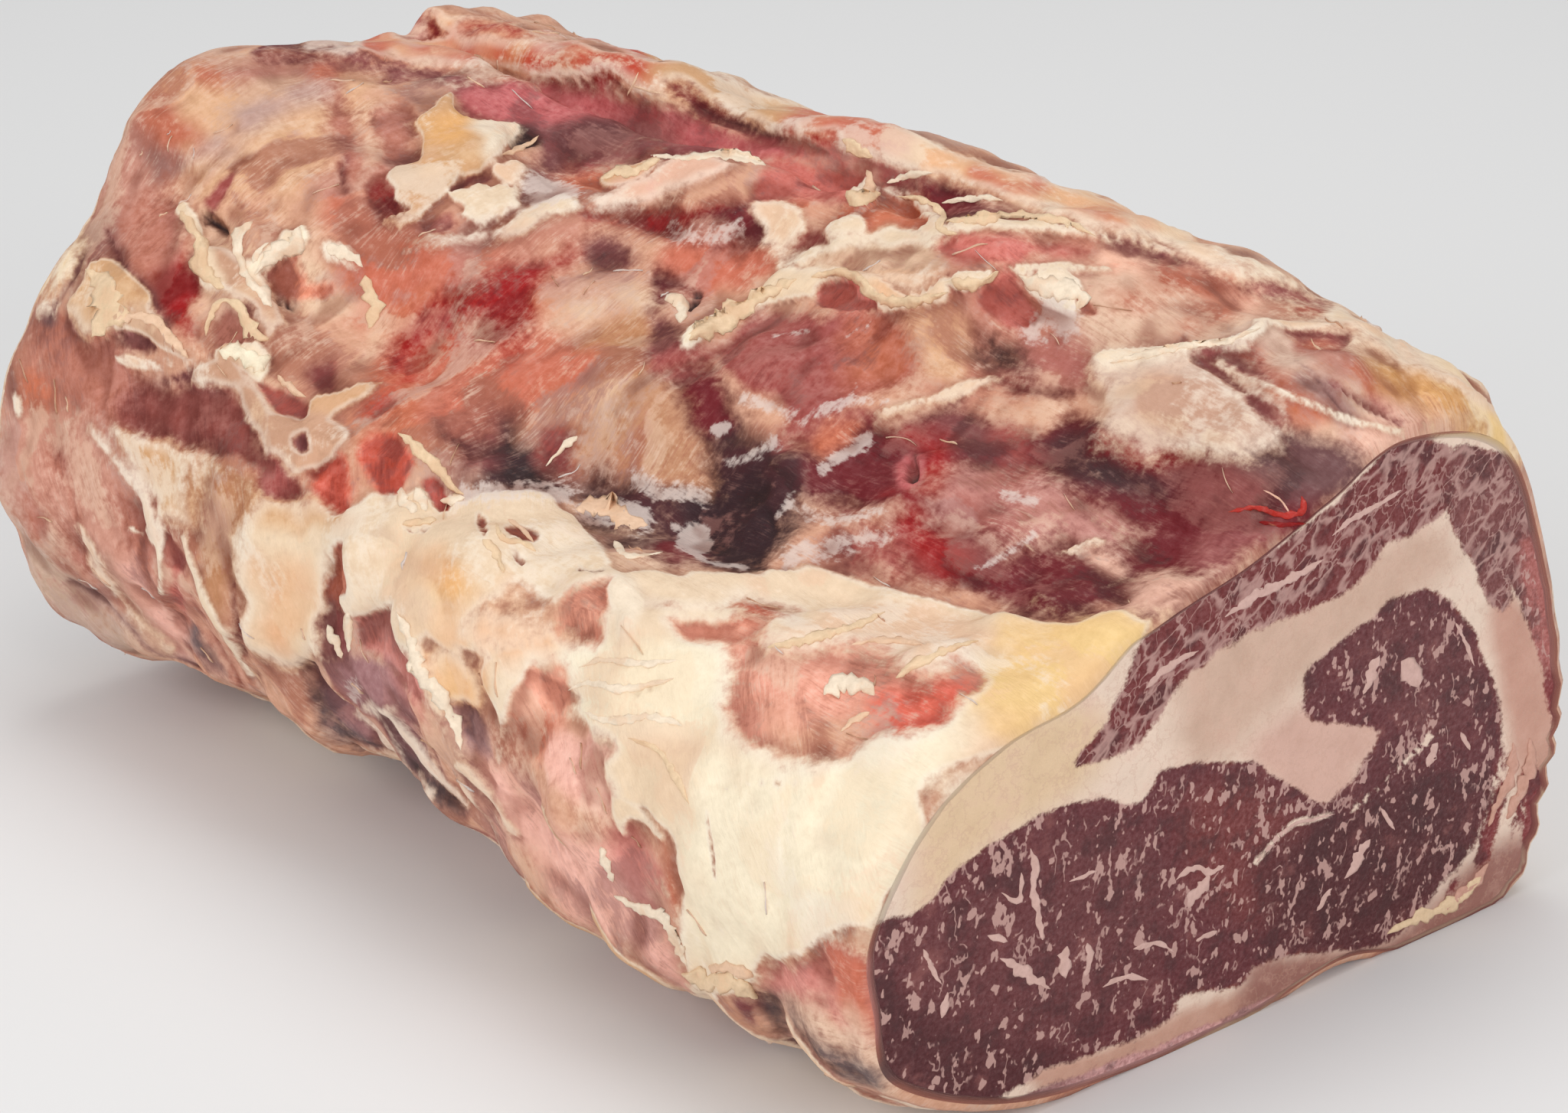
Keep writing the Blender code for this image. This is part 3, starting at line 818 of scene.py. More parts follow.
# %% Burgundy meat by the cut and the pale top beside it
PATCHES += rows(
    """
burgundy meat: lean, burgundy, 1.6, -0.3: 1062,606 1190,540 1250,528 1300,552 1350,560 1376,540
  1408,528 1480,572 1600,586 1650,560 1740,580 1796,600 1700,692 1650,716 1545,792 1500,815 1460,800
  1340,802 1200,762 1170,742 1150,682 1170,656 1120,660
dark of the burgundy meat: lean, plum, 3, 0: 1380,570 1450,560 1520,590 1560,640 1480,640 1400,610
dark at the foot: lean, burgundy, 2, 0: 1300,760 1340,720 1420,720 1480,750 1420,790 1340,796
dark red arc: lean, dark wine, 3, 0: 1190,548 1250,536 1290,560 1300,590 1240,580 1200,580
bright arc: lean, red, 2.2, 0: 1180,562 1230,570 1240,610 1220,640 1200,620 1210,590
bright red side: lean, red, 2.4, 0: 1160,660 1200,660 1240,690 1270,740 1230,762 1190,740 1170,710
red strip up: lean, smooth red, 2, 0: 1304,560 1330,560 1340,600 1330,650 1306,640 1316,600
red at the edge: lean, red, 1.8, 0: 1440,570 1500,576 1550,590 1540,600 1480,586
burgundy by the band: lean, burgundy, 2, 0: 1500,800 1600,700 1680,668 1760,610 1800,612 1700,690
  1545,796
wine before the foot: lean, smooth red, 3, 0: 1090,690 1150,680 1190,720 1220,760 1160,760 1100,740
red by the torn fibres: lean, burgundy, 2.5, 0: 1540,620 1600,610 1640,640 1600,660 1550,650
wine streak to the haze: lean, wine, 2, 0: 1560,700 1620,690 1660,700 1600,740 1560,745
pink haze: skin, haze pink, 3, 0.2: 1204,664 1232,630 1262,606 1292,624 1316,650 1350,622 1400,652
  1450,668 1486,692 1440,706 1392,700 1376,716 1320,716 1290,700 1214,682
rose of the haze: skin, rose, 3, 0: 1230,680 1260,650 1300,670 1330,690 1290,700
pale line on the meat: fat, cream pink, 0.5, 0.8: 1330,706 1372,716 1420,704 1440,708 1372,722
  1340,716
pale line by the line: skin, oval pink, 1, 0: 1414,712 1440,718 1464,742 1444,744 1420,726
pink band at the foot: skin, oval pink, 1.4, 0.5: 1440,806 1484,766 1540,745 1592,744 1562,782
  1506,806
grey fibres: lean, dusky, 2, 0: 1625,600 1660,562 1794,600 1744,650 1700,640
red behind the pale top: lean, brick red, 1.2, -0.3: 1226,322 1250,312 1290,305 1434,322 1350,336
  1330,346 1290,350 1250,346
cream layer behind: fat, cream, 0.8, 0.8: 1240,286 1290,280 1400,288 1480,318 1420,306 1296,296
  1262,298
peach layer behind: skin, light coral, 2.5, 0: 1400,306 1480,330 1600,352 1640,390 1560,370 1460,345
first rust spot: skin, rust, 1.8, 0: 1452,380 1474,372 1494,378 1484,392 1460,394
second rust spot: skin, rust, 2, 0: 1500,358 1540,350 1600,366 1592,384 1540,380 1510,386
third rust spot: skin, rust, 2, 0: 1548,420 1576,402 1606,400 1590,416 1560,436 1540,448
rust by the corner: skin, rust, 1.8, 0: 1660,398 1700,396 1730,408 1700,412
red brown triangle: lean, brick red, 0.9, -0.8: 1272,386 1294,358 1322,354 1354,400 1352,424
  1322,432 1298,422
dark dip: lean, black plum, 3, -0.8: 1290,426 1312,436 1350,482 1320,490 1294,480 1272,452
purple band: lean, burgundy, 1.6, -0.6: 1300,498 1340,492 1400,502 1410,512 1380,520 1330,518
haze round the dip: skin, rose, 3, 0: 1340,450 1400,460 1430,500 1400,500 1350,484
scrap by the lobe: fat, cream, 0.5, 1.2: 1240,372 1250,356 1302,348 1300,366 1280,380 1254,381
white sheet: fat, white fat, 0.6, 1.1: 1334,376 1346,364 1372,358 1398,364 1414,380 1410,400
  1390,406 1348,392
cream over the triangle: fat, cream, 0.7, 0.7: 1290,356 1330,348 1400,346 1450,352 1350,360 1336,372
  1320,354
brown slit by the sheet: lean, brown red, 0.5, -1: 1410,386 1420,396 1436,408 1424,410 1412,400
pale fluff: fat, fluff, 3, 0.3: 1428,506 1466,472 1540,462 1600,478 1644,502 1664,532 1640,590
  1520,586 1480,576 1450,562 1436,536
white streak: fat, white fat, 0.7, 1.2: 1440,470 1546,446 1600,444 1652,424 1630,448 1470,476
slit over the streak: lean, brown red, 0.6, -1: 1536,444 1548,430 1556,440 1600,440 1560,447
purple streak: lean, wine, 1, -0.7: 1552,468 1576,462 1640,506 1682,546 1650,542 1618,520 1588,490
wine by the streak: lean, wine, 1.5, -0.3: 1560,456 1600,450 1650,470 1660,500 1620,490
orange by the streak: skin, orange, 1.8, 0: 1620,458 1652,466 1690,500 1740,540 1700,548 1660,510
red brown wedge: lean, smooth red, 1, -0.8: 1678,431 1724,434 1766,433 1758,450 1742,456 1714,447
rust wedge: skin, rust, 1.6, 0: 1700,456 1750,460 1786,480 1800,500 1770,496 1720,478
rust by the lobe: skin, rust, 1.8, 0: 1780,494 1820,512 1850,548 1820,536
amber band: skin, amber, 2, 0.4: 1800,462 1850,486 1900,524 1930,570 1890,572 1806,482
grey groove: skin, lilac grey, 1, -0.7: 1696,490 1730,500 1766,534 1790,560 1760,556 1730,524
red groove: lean, wine, 0.8, -0.8: 1744,500 1790,524 1836,552 1820,552 1780,532
pink by the corner: skin, oval pink, 2, 0: 1760,560 1820,540 1880,560 1850,566 1800,600 1770,586
"""
)

# %% Fat ridge and the front of the roast
PATCHES += rows(
    """
fat ridge: fat, cream, 0.9, 0.8: 444,668 560,640 604,652 650,640 720,640 800,740 850,746 1000,748
  1060,742 1290,800 1380,812 1420,812 1450,800 1500,806 1506,816 1430,920 1380,955 1240,1008
  1212,1030 1212,1080 1198,1132 1158,1196 1128,1212 1090,1218 1050,1250 1000,1250 985,1280 950,1300
  920,1304 900,1288 880,1110 840,1060 800,1040 780,960 740,900 650,860 600,850 560,832 520,792
  450,792 430,740
left cream: fat, tan cream, 2, 0.4: 150,556 200,566 300,612 340,640 440,672 440,720 425,850 400,870
  350,860 318,830 300,700 200,680 170,620
cream rise: fat, cream, 1.6, 0.8: 310,700 360,690 430,700 434,730 422,830 396,862 350,850 322,820
  312,770
amber streaks: skin, tan, 3, 0: 270,600 330,612 340,650 300,700 290,790 268,740 250,660
peach on the rise: fat, lip peach, 3, 0: 350,730 400,750 400,800 370,830 350,790
smooth front fat: fat, cream pink, 4, 0: 1216,1080 1214,1030 1320,940 1400,880 1440,910 1380,950
  1300,990 1250,1050 1230,1100
amber front fat: fat, amber, 4, 0: 1340,850 1420,820 1480,830 1470,860 1430,920 1370,930 1310,930
yellow front fat: fat, yellow, 5, 0: 1290,900 1360,840 1440,815 1500,815 1480,850 1420,930 1330,940
front cream: fat, front cream, 6, 0: 960,1000 1200,960 1240,1000 1210,1080 1150,1180 1080,1220
  940,1250 900,1180 900,1060
salmon front: skin, coral, 1.4, -0.4: 952,846 1000,840 1060,848 1110,840 1200,842 1240,850 1276,888
  1250,910 1150,960 1110,990 1050,1002 1010,1000 1000,980 960,970 952,920 956,880
pale of the salmon front: skin, salmon, 2.4, 0: 1010,950 1090,940 1110,970 1060,1000 1012,996
red tongue of the front: skin, bright coral, 2, 0: 1160,920 1200,904 1250,904 1236,926 1180,946
  1150,950
red windows over the front: skin, light coral, 1, -0.6: 858,812 900,808 950,812 985,806 1006,810
  980,832 948,838 906,838
rust over the windows: skin, salmon red, 1.4, 0: 850,792 900,788 1000,785 1044,806 1000,804 900,800
orange drop: skin, light coral, 1.4, -0.5: 726,806 744,776 780,762 800,772 790,812 770,844 742,840
peach by the drop: skin, salmon, 1.8, -0.3: 616,812 650,786 700,778 724,800 690,828 640,834
white lobe by the drop: fat, white fat, 0.6, 1.2: 800,760 826,766 842,790 838,808 822,836 812,828
  808,800 796,784
shred windows: lean, wine, 0.6, -0.8: 824,912 850,898 874,892 862,906 836,916
shred slit: lean, wine, 0.5, -0.8: 752,908 770,914 798,922 790,928 764,918
left salmon: skin, light coral, 1.8, -0.4: 668,890 700,862 740,880 744,910 700,990 672,970 664,930
red of the left salmon: skin, rust, 1.6, 0: 676,944 710,940 716,962 690,984 672,972
low salmon: skin, pale coral, 1.4, -0.5: 724,986 744,962 784,964 800,980 776,1000 800,1050 770,1056
  744,1040
white beside the salmon: fat, white fat, 0.8, 0.8: 640,858 700,850 690,880 664,920 650,1000 646,940
  636,900
white ridge lower left: fat, white fat, 0.7, 1: 512,800 524,792 546,836 552,872 576,900 608,966
  600,990 572,930 552,916 536,868 518,838
amber lower left: fat, amber, 2, 0: 578,850 610,860 622,890 620,920 596,926 576,900
grey red beside the amber: lean, mauve, 1, -0.6: 586,930 606,924 634,950 640,980 632,1000 606,986
  592,960
second left lobe: fat, cream, 0.7, 1.4: 516,796 530,768 552,756 572,770 582,800 566,826 540,838
  520,826
first left lobe: fat, cream, 0.7, 1.4: 458,712 478,702 506,706 530,726 530,746 518,760 512,790
  462,806 454,770
window between the lobes: lean, rust, 0.7, -1.2: 447,712 456,766 444,776 440,792 428,798 424,774
  428,750
red tooth window: lean, brick pink, 0.8, -1: 464,812 480,802 510,798 514,830 548,886 552,916 520,900
  490,860 470,850 462,836
window under the lobe: lean, wine, 0.8, -1: 420,800 444,798 452,830 450,856 410,866 414,830
slit in the ridge: lean, brown red, 0.5, -1: 524,690 544,694 566,688 556,698 536,700
second slit in the ridge: lean, rust, 0.6, -0.8: 664,690 680,688 700,700 690,704
third slit in the ridge: lean, rust, 0.6, -0.8: 624,676 632,680 636,700 628,696
fourth slit in the ridge: lean, rust, 0.6, -0.8: 662,716 672,716 686,736 676,738
amber on the ridge: fat, amber, 4, 0: 570,760 600,740 612,770 590,800 574,790
peach on the ridge: fat, lip peach, 4, 0: 540,730 560,726 566,750 546,750
peach fold of the ridge: fat, lip peach, 5, 0: 600,820 660,800 740,850 690,850 620,846
"""
)

# %% Left side, from the far corner down
PATCHES += rows(
    """
silvery streak: skin, silver, 2.4, 0.4: 236,206 300,166 360,120 424,104 430,124 370,146 250,216
rust streak on the dome: skin, rust, 2.6, 0: 260,92 330,84 420,78 440,92 360,100 290,100
grey patch: skin, lilac grey, 1.4, 0: 188,170 204,184 236,198 232,214 216,236 200,236
rust beside the patch: skin, rust, 3, 0: 204,130 232,150 260,176 240,196 210,180
red slit: lean, smooth red, 0.9, -0.7: 306,221 276,258 272,270 281,273
side meat: lean, brown red, 2.4, -0.5: 232,236 200,250 170,276 156,310 152,340 176,380 226,432
  256,442 264,426 252,390 256,346
deep red of the side: lean, red, 1.6, -0.4: 210,346 254,344 268,386 256,402 250,426 230,426 204,372
lilac streak: skin, lilac grey, 2, 0: 110,290 150,286 150,320 120,345 100,320
dark crease of the side: lean, dark wine, 0.7, -1.2: 136,300 148,310 156,340 192,382 194,396 158,362
yellow at the edge: fat, yellow, 2, 0.3: 96,300 60,372 66,392 84,378 104,320
tan leaf: fat, flap cream, 0.7, 1.3: 118,346 140,336 156,346 196,392 162,414 150,432 114,452 84,400
  108,370
white by the leaf: fat, white fat, 1, 0.6: 54,402 80,384 78,396 64,416
left meat: lean, brown red, 1.8, -0.4: 60,412 86,402 110,438 150,432 166,470 190,492 240,500 300,500
  324,530 352,590 346,624 300,610 200,566 100,540 60,500 46,450
dark of the left meat: lean, deep brown red, 2, -0.4: 172,520 200,500 260,504 316,526 346,590
  340,612 240,586 170,548
orange cheek: skin, orange, 2, 0: 24,500 50,488 64,516 50,532 30,526
white on the cheek: fat, white fat, 0.8, 0.3: 14,512 26,524 30,540 20,542
dark scrap window: lean, dark wine, 0.8, -0.8: 154,436 176,430 202,446 204,462 176,458 158,450
slit under the scraps: lean, dark wine, 0.8, -0.8: 200,494 222,482 252,478 244,494 218,502
scraps: fat, dull cream, 0.7, 1: 150,414 176,404 206,412 222,440 246,458 244,476 222,470 190,440
  166,428 154,430
second scraps: fat, pink cream, 0.7, 0.8: 152,462 250,476 214,486 166,478
web of the strands: fat, dull cream, 1.2, 0.4: 256,326 272,318 290,322 304,332 318,344 336,350
  350,372 364,392 370,420 364,452 352,444 346,420 334,410 318,400 300,396 284,388 268,384
white tuft: fat, front cream, 0.8, 0.5: 330,350 340,330 352,318 362,312 372,298 384,300 398,290
  401,312 388,322 378,334 362,340 352,354 338,364
second white tuft: fat, white fat, 0.8, 0.4: 424,318 444,314 462,324 474,344 468,352 448,342 430,338
cream rim of the side: fat, cream, 0.7, 1: 240,262 231,276 258,322 257,346 266,376 296,384 294,366
  280,350 265,306
salmon window: lean, light salmon, 0.9, -0.8: 344,359 386,330 380,346 400,358 403,370 430,372
  428,386 380,393 360,386 356,366
round window: lean, light coral, 0.9, -0.8: 284,408 300,400 312,420 318,448 286,450 274,430
small red window: lean, smooth red, 0.7, -0.6: 308,384 322,388 334,404 322,406 312,396
white lump: fat, front cream, 0.6, 1.4: 287,452 330,450 346,460 353,476 346,496 330,499 314,479
  290,470
salmon lobe: skin, salmon, 1.4, 0.5: 356,440 380,424 430,420 470,440 440,490 420,508 398,516 370,500
  356,470
red end of the lobe: lean, smooth red, 1.2, -0.5: 400,480 430,474 440,484 436,508 410,508
window under the fold: lean, brick red, 0.8, -0.9: 333,498 398,523 402,536 392,552 374,546 356,530
cream fold: fat, flap cream, 0.8, 0.9: 404,520 440,508 500,500 440,540 408,580 398,560
cream column: fat, dull cream, 1, 0.8: 300,470 330,500 350,530 360,560 350,596 316,524 296,500
  250,492 270,476
pale shreds: fat, dull cream, 0.8, 0.6: 350,540 444,552 450,580 390,620 360,600
wine in the shreds: lean, wine, 0.8, -0.5: 384,572 400,566 402,590 390,590
meat under the shreds: lean, smooth red, 1.2, -0.4: 350,600 372,610 396,640 380,656 344,648 332,620
"""
)

# %% Windows between the ribs, the lower side and the toe
PATCHES += rows(
    """
red in the cluster: lean, bright red, 0.7, -0.7: 552,628 572,626 584,648 590,664 574,670 562,650
narrow window: lean, brick red, 0.8, -1: 216,690 240,728 238,750 232,756 246,800 260,824 240,836
  222,816 220,780 226,752 218,730
dark of the narrow window: lean, slate, 1.6, -0.5: 220,814 254,812 274,846 296,884 270,880 236,852
side streak: lean, brown red, 2, -0.3: 150,640 200,660 204,720 190,760 160,720 150,690
second side streak: lean, pale coral, 2, -0.3: 160,740 200,760 240,850 330,960 300,940 220,860
third side streak: lean, brown red, 2.4, -0.3: 30,640 56,660 60,690 40,690
fourth side streak: lean, brown red, 1.6, -0.3: 60,590 84,600 90,640 76,620
fifth side streak: lean, brown red, 2, -0.3: 76,690 100,690 130,760 150,800 110,760
grey window: lean, mauve grey, 1.2, -0.8: 400,880 412,858 506,860 552,968 612,1056 580,1046 540,1024
  440,956
dark rim of the window: lean, slate, 1.2, -0.6: 398,872 450,950 540,1004 600,1056 560,1040 480,982
  430,960 410,920
red beside the grey: lean, brick pink, 1.4, -0.4: 506,848 530,856 544,900 560,918 576,950 560,950
  530,910
pink rise: skin, salmon, 1.6, 0.6: 550,920 580,940 596,980 660,1090 620,1060 580,1010 556,960
white smear on the grey: fat, white fat, 1.2, 0.4: 466,934 480,930 500,960 520,990 500,976
wine strip: lean, dark wine, 1.2, -0.5: 600,1010 624,1010 652,1060 680,1098 660,1094 624,1050
pink lower side: lean, pale coral, 2.4, 0: 650,1000 760,1090 800,1090 850,1110 868,1160 880,1250
  900,1286 850,1270 650,1080
red of the lower side: lean, brick pink, 2, 0: 790,1080 830,1080 864,1120 866,1180 830,1160 800,1120
orange strip at the toe: skin, orange, 1.6, 0.2: 862,1100 882,1130 888,1200 880,1220 868,1190
cream foot of the ridge: fat, cream, 0.8, 0.8: 800,1040 840,1056 880,1108 866,1104 820,1070 812,1092
  800,1070
red at the toe: lean, brick pink, 1.4, -0.4: 994,1266 1040,1260 1080,1240 1120,1260 1138,1300
  1150,1350 1110,1350 1060,1310 1010,1310
orange flap at the toe: skin, salmon red, 1.4, 0.5: 1070,1230 1100,1240 1130,1262 1134,1300
  1156,1360 1160,1400 1140,1360 1100,1330
pale belly at the toe: skin, pink cream, 2.4, 0: 1030,1310 1080,1330 1130,1360 1160,1400 1150,1430
  1030,1350
slate belly: lean, slate, 2, -0.3: 980,1306 1010,1310 1040,1346 1100,1380 1150,1420 1100,1410
  1040,1380 1000,1350
red shred at the toe: lean, dark wine, 0.8, 0.6: 956,1300 984,1310 990,1346 968,1332
"""
)

# %% Last coats over the front and the top
PATCHES += rows(
    """
white front: fat, front cream, 2, 0.4: 742,860 800,850 900,852 950,860 930,940 880,960 800,960
  744,930 760,900
coral between the streaks: skin, salmon red, 4, 0: 430,250 500,290 640,330 560,380 500,400 460,340
coral under the red: skin, salmon red, 4, 0: 640,470 720,430 760,470 700,530 600,560 560,530
fluffy bars: fat, cream pink, 2, 0.3: 1000,840 1160,796 1280,832 1200,880 1160,850 1060,850
"""
)
print(len(PATCHES), "patches")

# %% [markdown]
# ## Strokes on the skin
# Creases, thin bands, holes and scraps of film are long and narrow, so an outline would say the
# same thing twice. Each is a path of photo pixels with a width, laid over the patches.

# %% Strands, folds and films
# The holes take the pit tone: painted shade over sunken shape.
STROKES = rows(
    """
crease by the red tongue: lean, deep brown red, 0.6, -0.8, 4: 452,205 446,222 452,250
pale edge under the lip: fat, cream pink, 0.6, 0.5, 5: 1330,262 1400,284 1470,306 1560,338 1620,356
seam by the lobe: lean, deep brown red, 0.5, -1, 3: 1238,356 1240,372 1252,384
slit over the white streak: lean, deep brown red, 0.4, -1, 3: 1520,452 1545,444 1590,440
line over the wedge: fat, cream pink, 0.5, 1, 6: 1640,424 1700,428 1768,428 1800,440
groove by the corner: lean, wine, 0.6, -1.2, 4: 1735,498 1780,526 1830,554
second groove by the corner: lean, grey purple, 0.6, -1, 4: 1690,470 1720,492 1752,536
fold at the corner: fat, cream pink, 0.6, 0.9, 7: 1826,452 1856,486 1900,508 1950,536
cream streak by the corner: fat, cream, 0.8, 0.5, 9: 1590,470 1650,500 1740,540 1830,566
hole at the far top: lean, pit, 0.8, -3, 12: 272,286 282,294 288,302
hole by the window: lean, pit, 0.5, -2, 6: 364,392 374,397 384,401
hole by the knob: lean, pit, 0.5, -2, 7: 912,380 908,392 900,402
hole in the burgundy meat: lean, pit, 0.8, -3, 15: 1188,600 1186,612
rim of that hole: lean, rose wine, 0.3, 0.6, 3: 1200,596 1196,616 1182,626 1172,618 1176,604
  1186,594
crease in the side meat: lean, dark wine, 0.6, -1, 4: 196,396 214,420 222,440
crease by the leaf: lean, grey purple, 0.8, -0.9, 6: 106,330 92,366 74,398 62,416
cream thread on the side: fat, cream pink, 0.5, 0.6, 5: 160,690 190,694 206,680 214,690
white thread by the window: fat, white fat, 0.6, 0.8, 7: 206,690 212,730 214,770
second thread by the window: fat, cream, 0.6, 0.8, 7: 238,700 256,760 290,820 330,880
streak down the flank: fat, cream pink, 1.2, 0.5, 10: 100,690 130,740 170,800 220,850
second streak down the flank: fat, pink cream, 1.4, 0.5, 12: 120,560 180,640 200,700
third streak down the flank: lean, brown red, 1.2, -0.5, 7: 92,640 98,690 112,760 150,800
fourth streak down the flank: lean, brown red, 1.2, -0.5, 8: 180,700 200,760 240,810
fifth streak down the flank: lean, grey purple, 1, -0.8, 6: 90,760 140,790 200,850 260,880
sixth streak down the flank: lean, brown red, 1, -0.6, 6: 250,780 280,840 330,930
rib groove: lean, deep brown red, 0.8, -1, 5: 300,760 306,800 318,850 346,900
pink band of the side: skin, salmon, 1.4, 0.6, 16: 330,860 380,940 470,1010
pale band of the side: fat, pink cream, 1, 0.6, 9: 470,930 510,990 560,1040
second pale band of the side: fat, pink cream, 1, 0.6, 8: 500,930 560,1000 610,1050
third pale band of the side: fat, cream pink, 1, 0.6, 8: 600,1000 640,1050 670,1090
thin line on the ridge: lean, rust, 0.4, -0.5, 2: 930,1060 934,1110 938,1150
second thin line on the ridge: lean, tan, 0.4, -0.4, 2: 952,1030 1000,1024 1040,1028
edge of the front fat: lean, salmon red, 0.7, -0.6, 5: 1214,1040 1210,1090 1196,1130 1160,1170
  1140,1200
crack in the ridge: lean, slate, 0.3, -0.8, 3: 756,742 772,746 790,744
film over the dark window: film, film, 1, 0, 26: 766,660 800,664 840,678
round film: film, film, 0.6, 0, 38: 902,696 906,698
tail of the film: film, film, 0.4, 0, 7: 906,716 930,728 972,733
small film: film, film, 0.5, 0, 11: 878,682 882,684
film by the muscle: film, film, 1.2, 0, 15: 970,520 1000,528 1030,540
film shred: film, film, 0.7, 0, 7: 950,600 980,590 1012,572
second film shred: film, film, 0.6, 0, 11: 1074,608 1104,586 1130,570
third film shred: film, film, 0.7, 0, 7: 1050,548 1100,528 1156,518
fourth film shred: film, film, 0.5, 0, 12: 1012,668 1030,654
film at the foot: film, film, 1, 0, 9: 1032,640 1056,668 1100,678 1152,664
film over the foot: film, film, 1.6, 0, 14: 1030,730 1080,710 1150,700
white shred at the foot: film, film, 0.6, 0, 13: 1024,740 1038,722 1054,712
film over the haze: film, film, 0.8, 0, 5: 1310,640 1330,650 1350,655
film under the haze: film, film, 0.6, 0, 7: 1272,740 1300,730 1340,706 1350,696
film by the dip: film, film, 1.4, 0, 30: 1350,430 1370,400 1390,420
film by the flaps: film, film, 1.6, 0, 26: 700,240 740,250 700,262
scratch on the muscle: film, film, 0.3, 0, 2: 1006,442 1040,430 1082,424
second scratch on the muscle: film, film, 0.3, 0, 2: 1100,446 1120,430 1136,420
third scratch on the muscle: film, film, 0.3, 0, 3: 1104,530 1114,512 1120,500
bubble by the muscle: film, film, 0.4, 0, 14: 934,562 948,554
haze on the red band: film, film, 2, 0, 8: 880,300 920,310 960,296
white fluff over the dark: film, film, 1.6, 0, 26: 610,648 680,636 740,640
fluff on the plate's edge: film, film, 1.2, 0, 12: 830,622 870,640 916,642
film on the grey window: film, film, 0.8, 0, 8: 452,896 462,920
"""
)
print(len(STROKES), "strands, folds and films")

# %% [markdown]
# ## The marbled cut
# The cut shows the muscles across. A big eye of lean lies at the foot and rises at the back, a
# band of coarse marbled lean runs over it, and fat fills between. Lean patches lie on a ground
# of fat here, and each says how coarse its marbling is.

# %% Muscles of the cut
CUT_PATCHES = rows(
    """
fat between: cut fat, 2: 1100,1450 1100,1200 1250,900 1500,700 1850,500 2060,560 2060,1200 1800,1300
  1300,1460
warm fat: warm cut fat, 5: 1200,1180 1215,1040 1260,980 1400,930 1440,960 1400,1030 1300,1090
  1240,1150
grey fat: grey cut fat, 5: 1560,800 1700,780 1850,700 1890,720 1860,760 1700,880 1560,1000
eye: eye lean, 0.6: 1128,1228 1134,1212 1200,1188 1250,1136 1350,1068 1400,1047 1446,1040 1480,1050
  1500,1036 1512,1010 1550,996 1600,994 1650,1000 1704,1040 1740,1046 1800,956 1712,942 1704,900
  1712,870 1800,800 1836,776 1862,768 1900,790 1926,826 1946,870 1960,920 1964,960 1954,1010
  1932,1080 1912,1120 1850,1200 1800,1236 1650,1256 1625,1288 1540,1302 1542,1322 1500,1346
  1400,1392 1262,1446 1164,1440 1148,1400 1142,1340 1128,1290 1122,1250
top band: band lean, 0.8: 1408,1000 1412,984 1440,950 1486,850 1510,820 1704,690 1796,602 1836,572
  1876,578 1896,590 1890,668 1810,712 1800,730 1764,768 1704,800 1648,820 1600,848 1536,900 1490,968
  1450,990
cap: cap lean, 0.8: 1900,584 1940,588 1974,600 1990,640 2020,750 2030,810 2034,880 2022,900 1980,770
  1960,772 1900,700 1896,640
small muscle under the cap: cap lean, 1: 1936,740 1960,750 1976,772 1962,800 1946,790 1934,768
outer fat: outer cut fat, 2: 1950,800 1990,800 2050,960 2030,1010 2000,1040 1980,980
lean in the outer fat: outer lean, 0.8: 1996,700 2016,760 2028,830 2036,900 2030,940 2016,900
  1992,760
gap between the sheets: wine cut, 0.7: 1966,990 1974,1000 1952,1100 1940,1124 1928,1120
second gap: wine cut, 0.7: 1994,990 2000,1010 1982,1080 1974,1084
third gap: wine cut, 0.7: 1888,1160 1906,1146 1900,1166 1884,1178
purple flap: wine cut, 0.7: 2004,1010 2016,1020 2006,1100 1990,1120 1990,1080
bottom strip: strip fat, 1.2: 1350,1404 1450,1372 1512,1346 1552,1320 1632,1296 1660,1262 1810,1244
  1760,1262 1600,1340 1500,1382 1380,1420
lean under the strip: strip lean, 0.8: 1330,1432 1500,1370 1690,1290 1640,1330 1540,1374 1350,1440
dark of the eye: dark eye lean, 5: 1180,1260 1300,1160 1420,1090 1500,1120 1500,1250 1400,1340
  1260,1380
red of the eye: red eye lean, 5: 1560,1040 1640,1030 1700,1080 1720,1150 1640,1200 1560,1140
dark upper lobe: dark eye lean, 4: 1780,840 1850,800 1900,840 1930,900 1880,960 1800,900
wine edge: wine cut, 0.8: 2014,880 2030,880 2044,940 2046,1010 2034,1060 2020,1080 2026,940
dark foot of the lobe: deep eye lean, 6: 1680,1110 1860,1020 1920,1060 1890,1140 1800,1220 1700,1230
  1660,1180
dark tip of the eye: deep eye lean, 6: 1130,1290 1280,1370 1390,1390 1330,1430 1200,1446 1150,1400
pink by the notch: pink cut fat, 3: 1640,985 1700,930 1760,925 1812,942 1800,975 1768,1000 1762,1030
  1720,1050
dry rim: rim fat, 3: 1640,1268 1700,1254 1790,1242 1850,1206 1940,1120 1990,1100 2020,1130 1960,1200
  1880,1250 1640,1350
near tip: dark eye lean, 1.6: 1126,1230 1170,1210 1200,1230 1160,1260 1130,1270
"""
)
CUT_SEAMS = rows(
    """
seam of the eye: 7: 1641,1127 1664,1100 1689,1077 1716,1070 1744,1063
upper seam: 5: 1752,1068 1790,1040 1830,1000 1870,960
crack in the outer fat: 4: 1906,752 1930,800 1944,850 1952,900 1964,940
"""
)
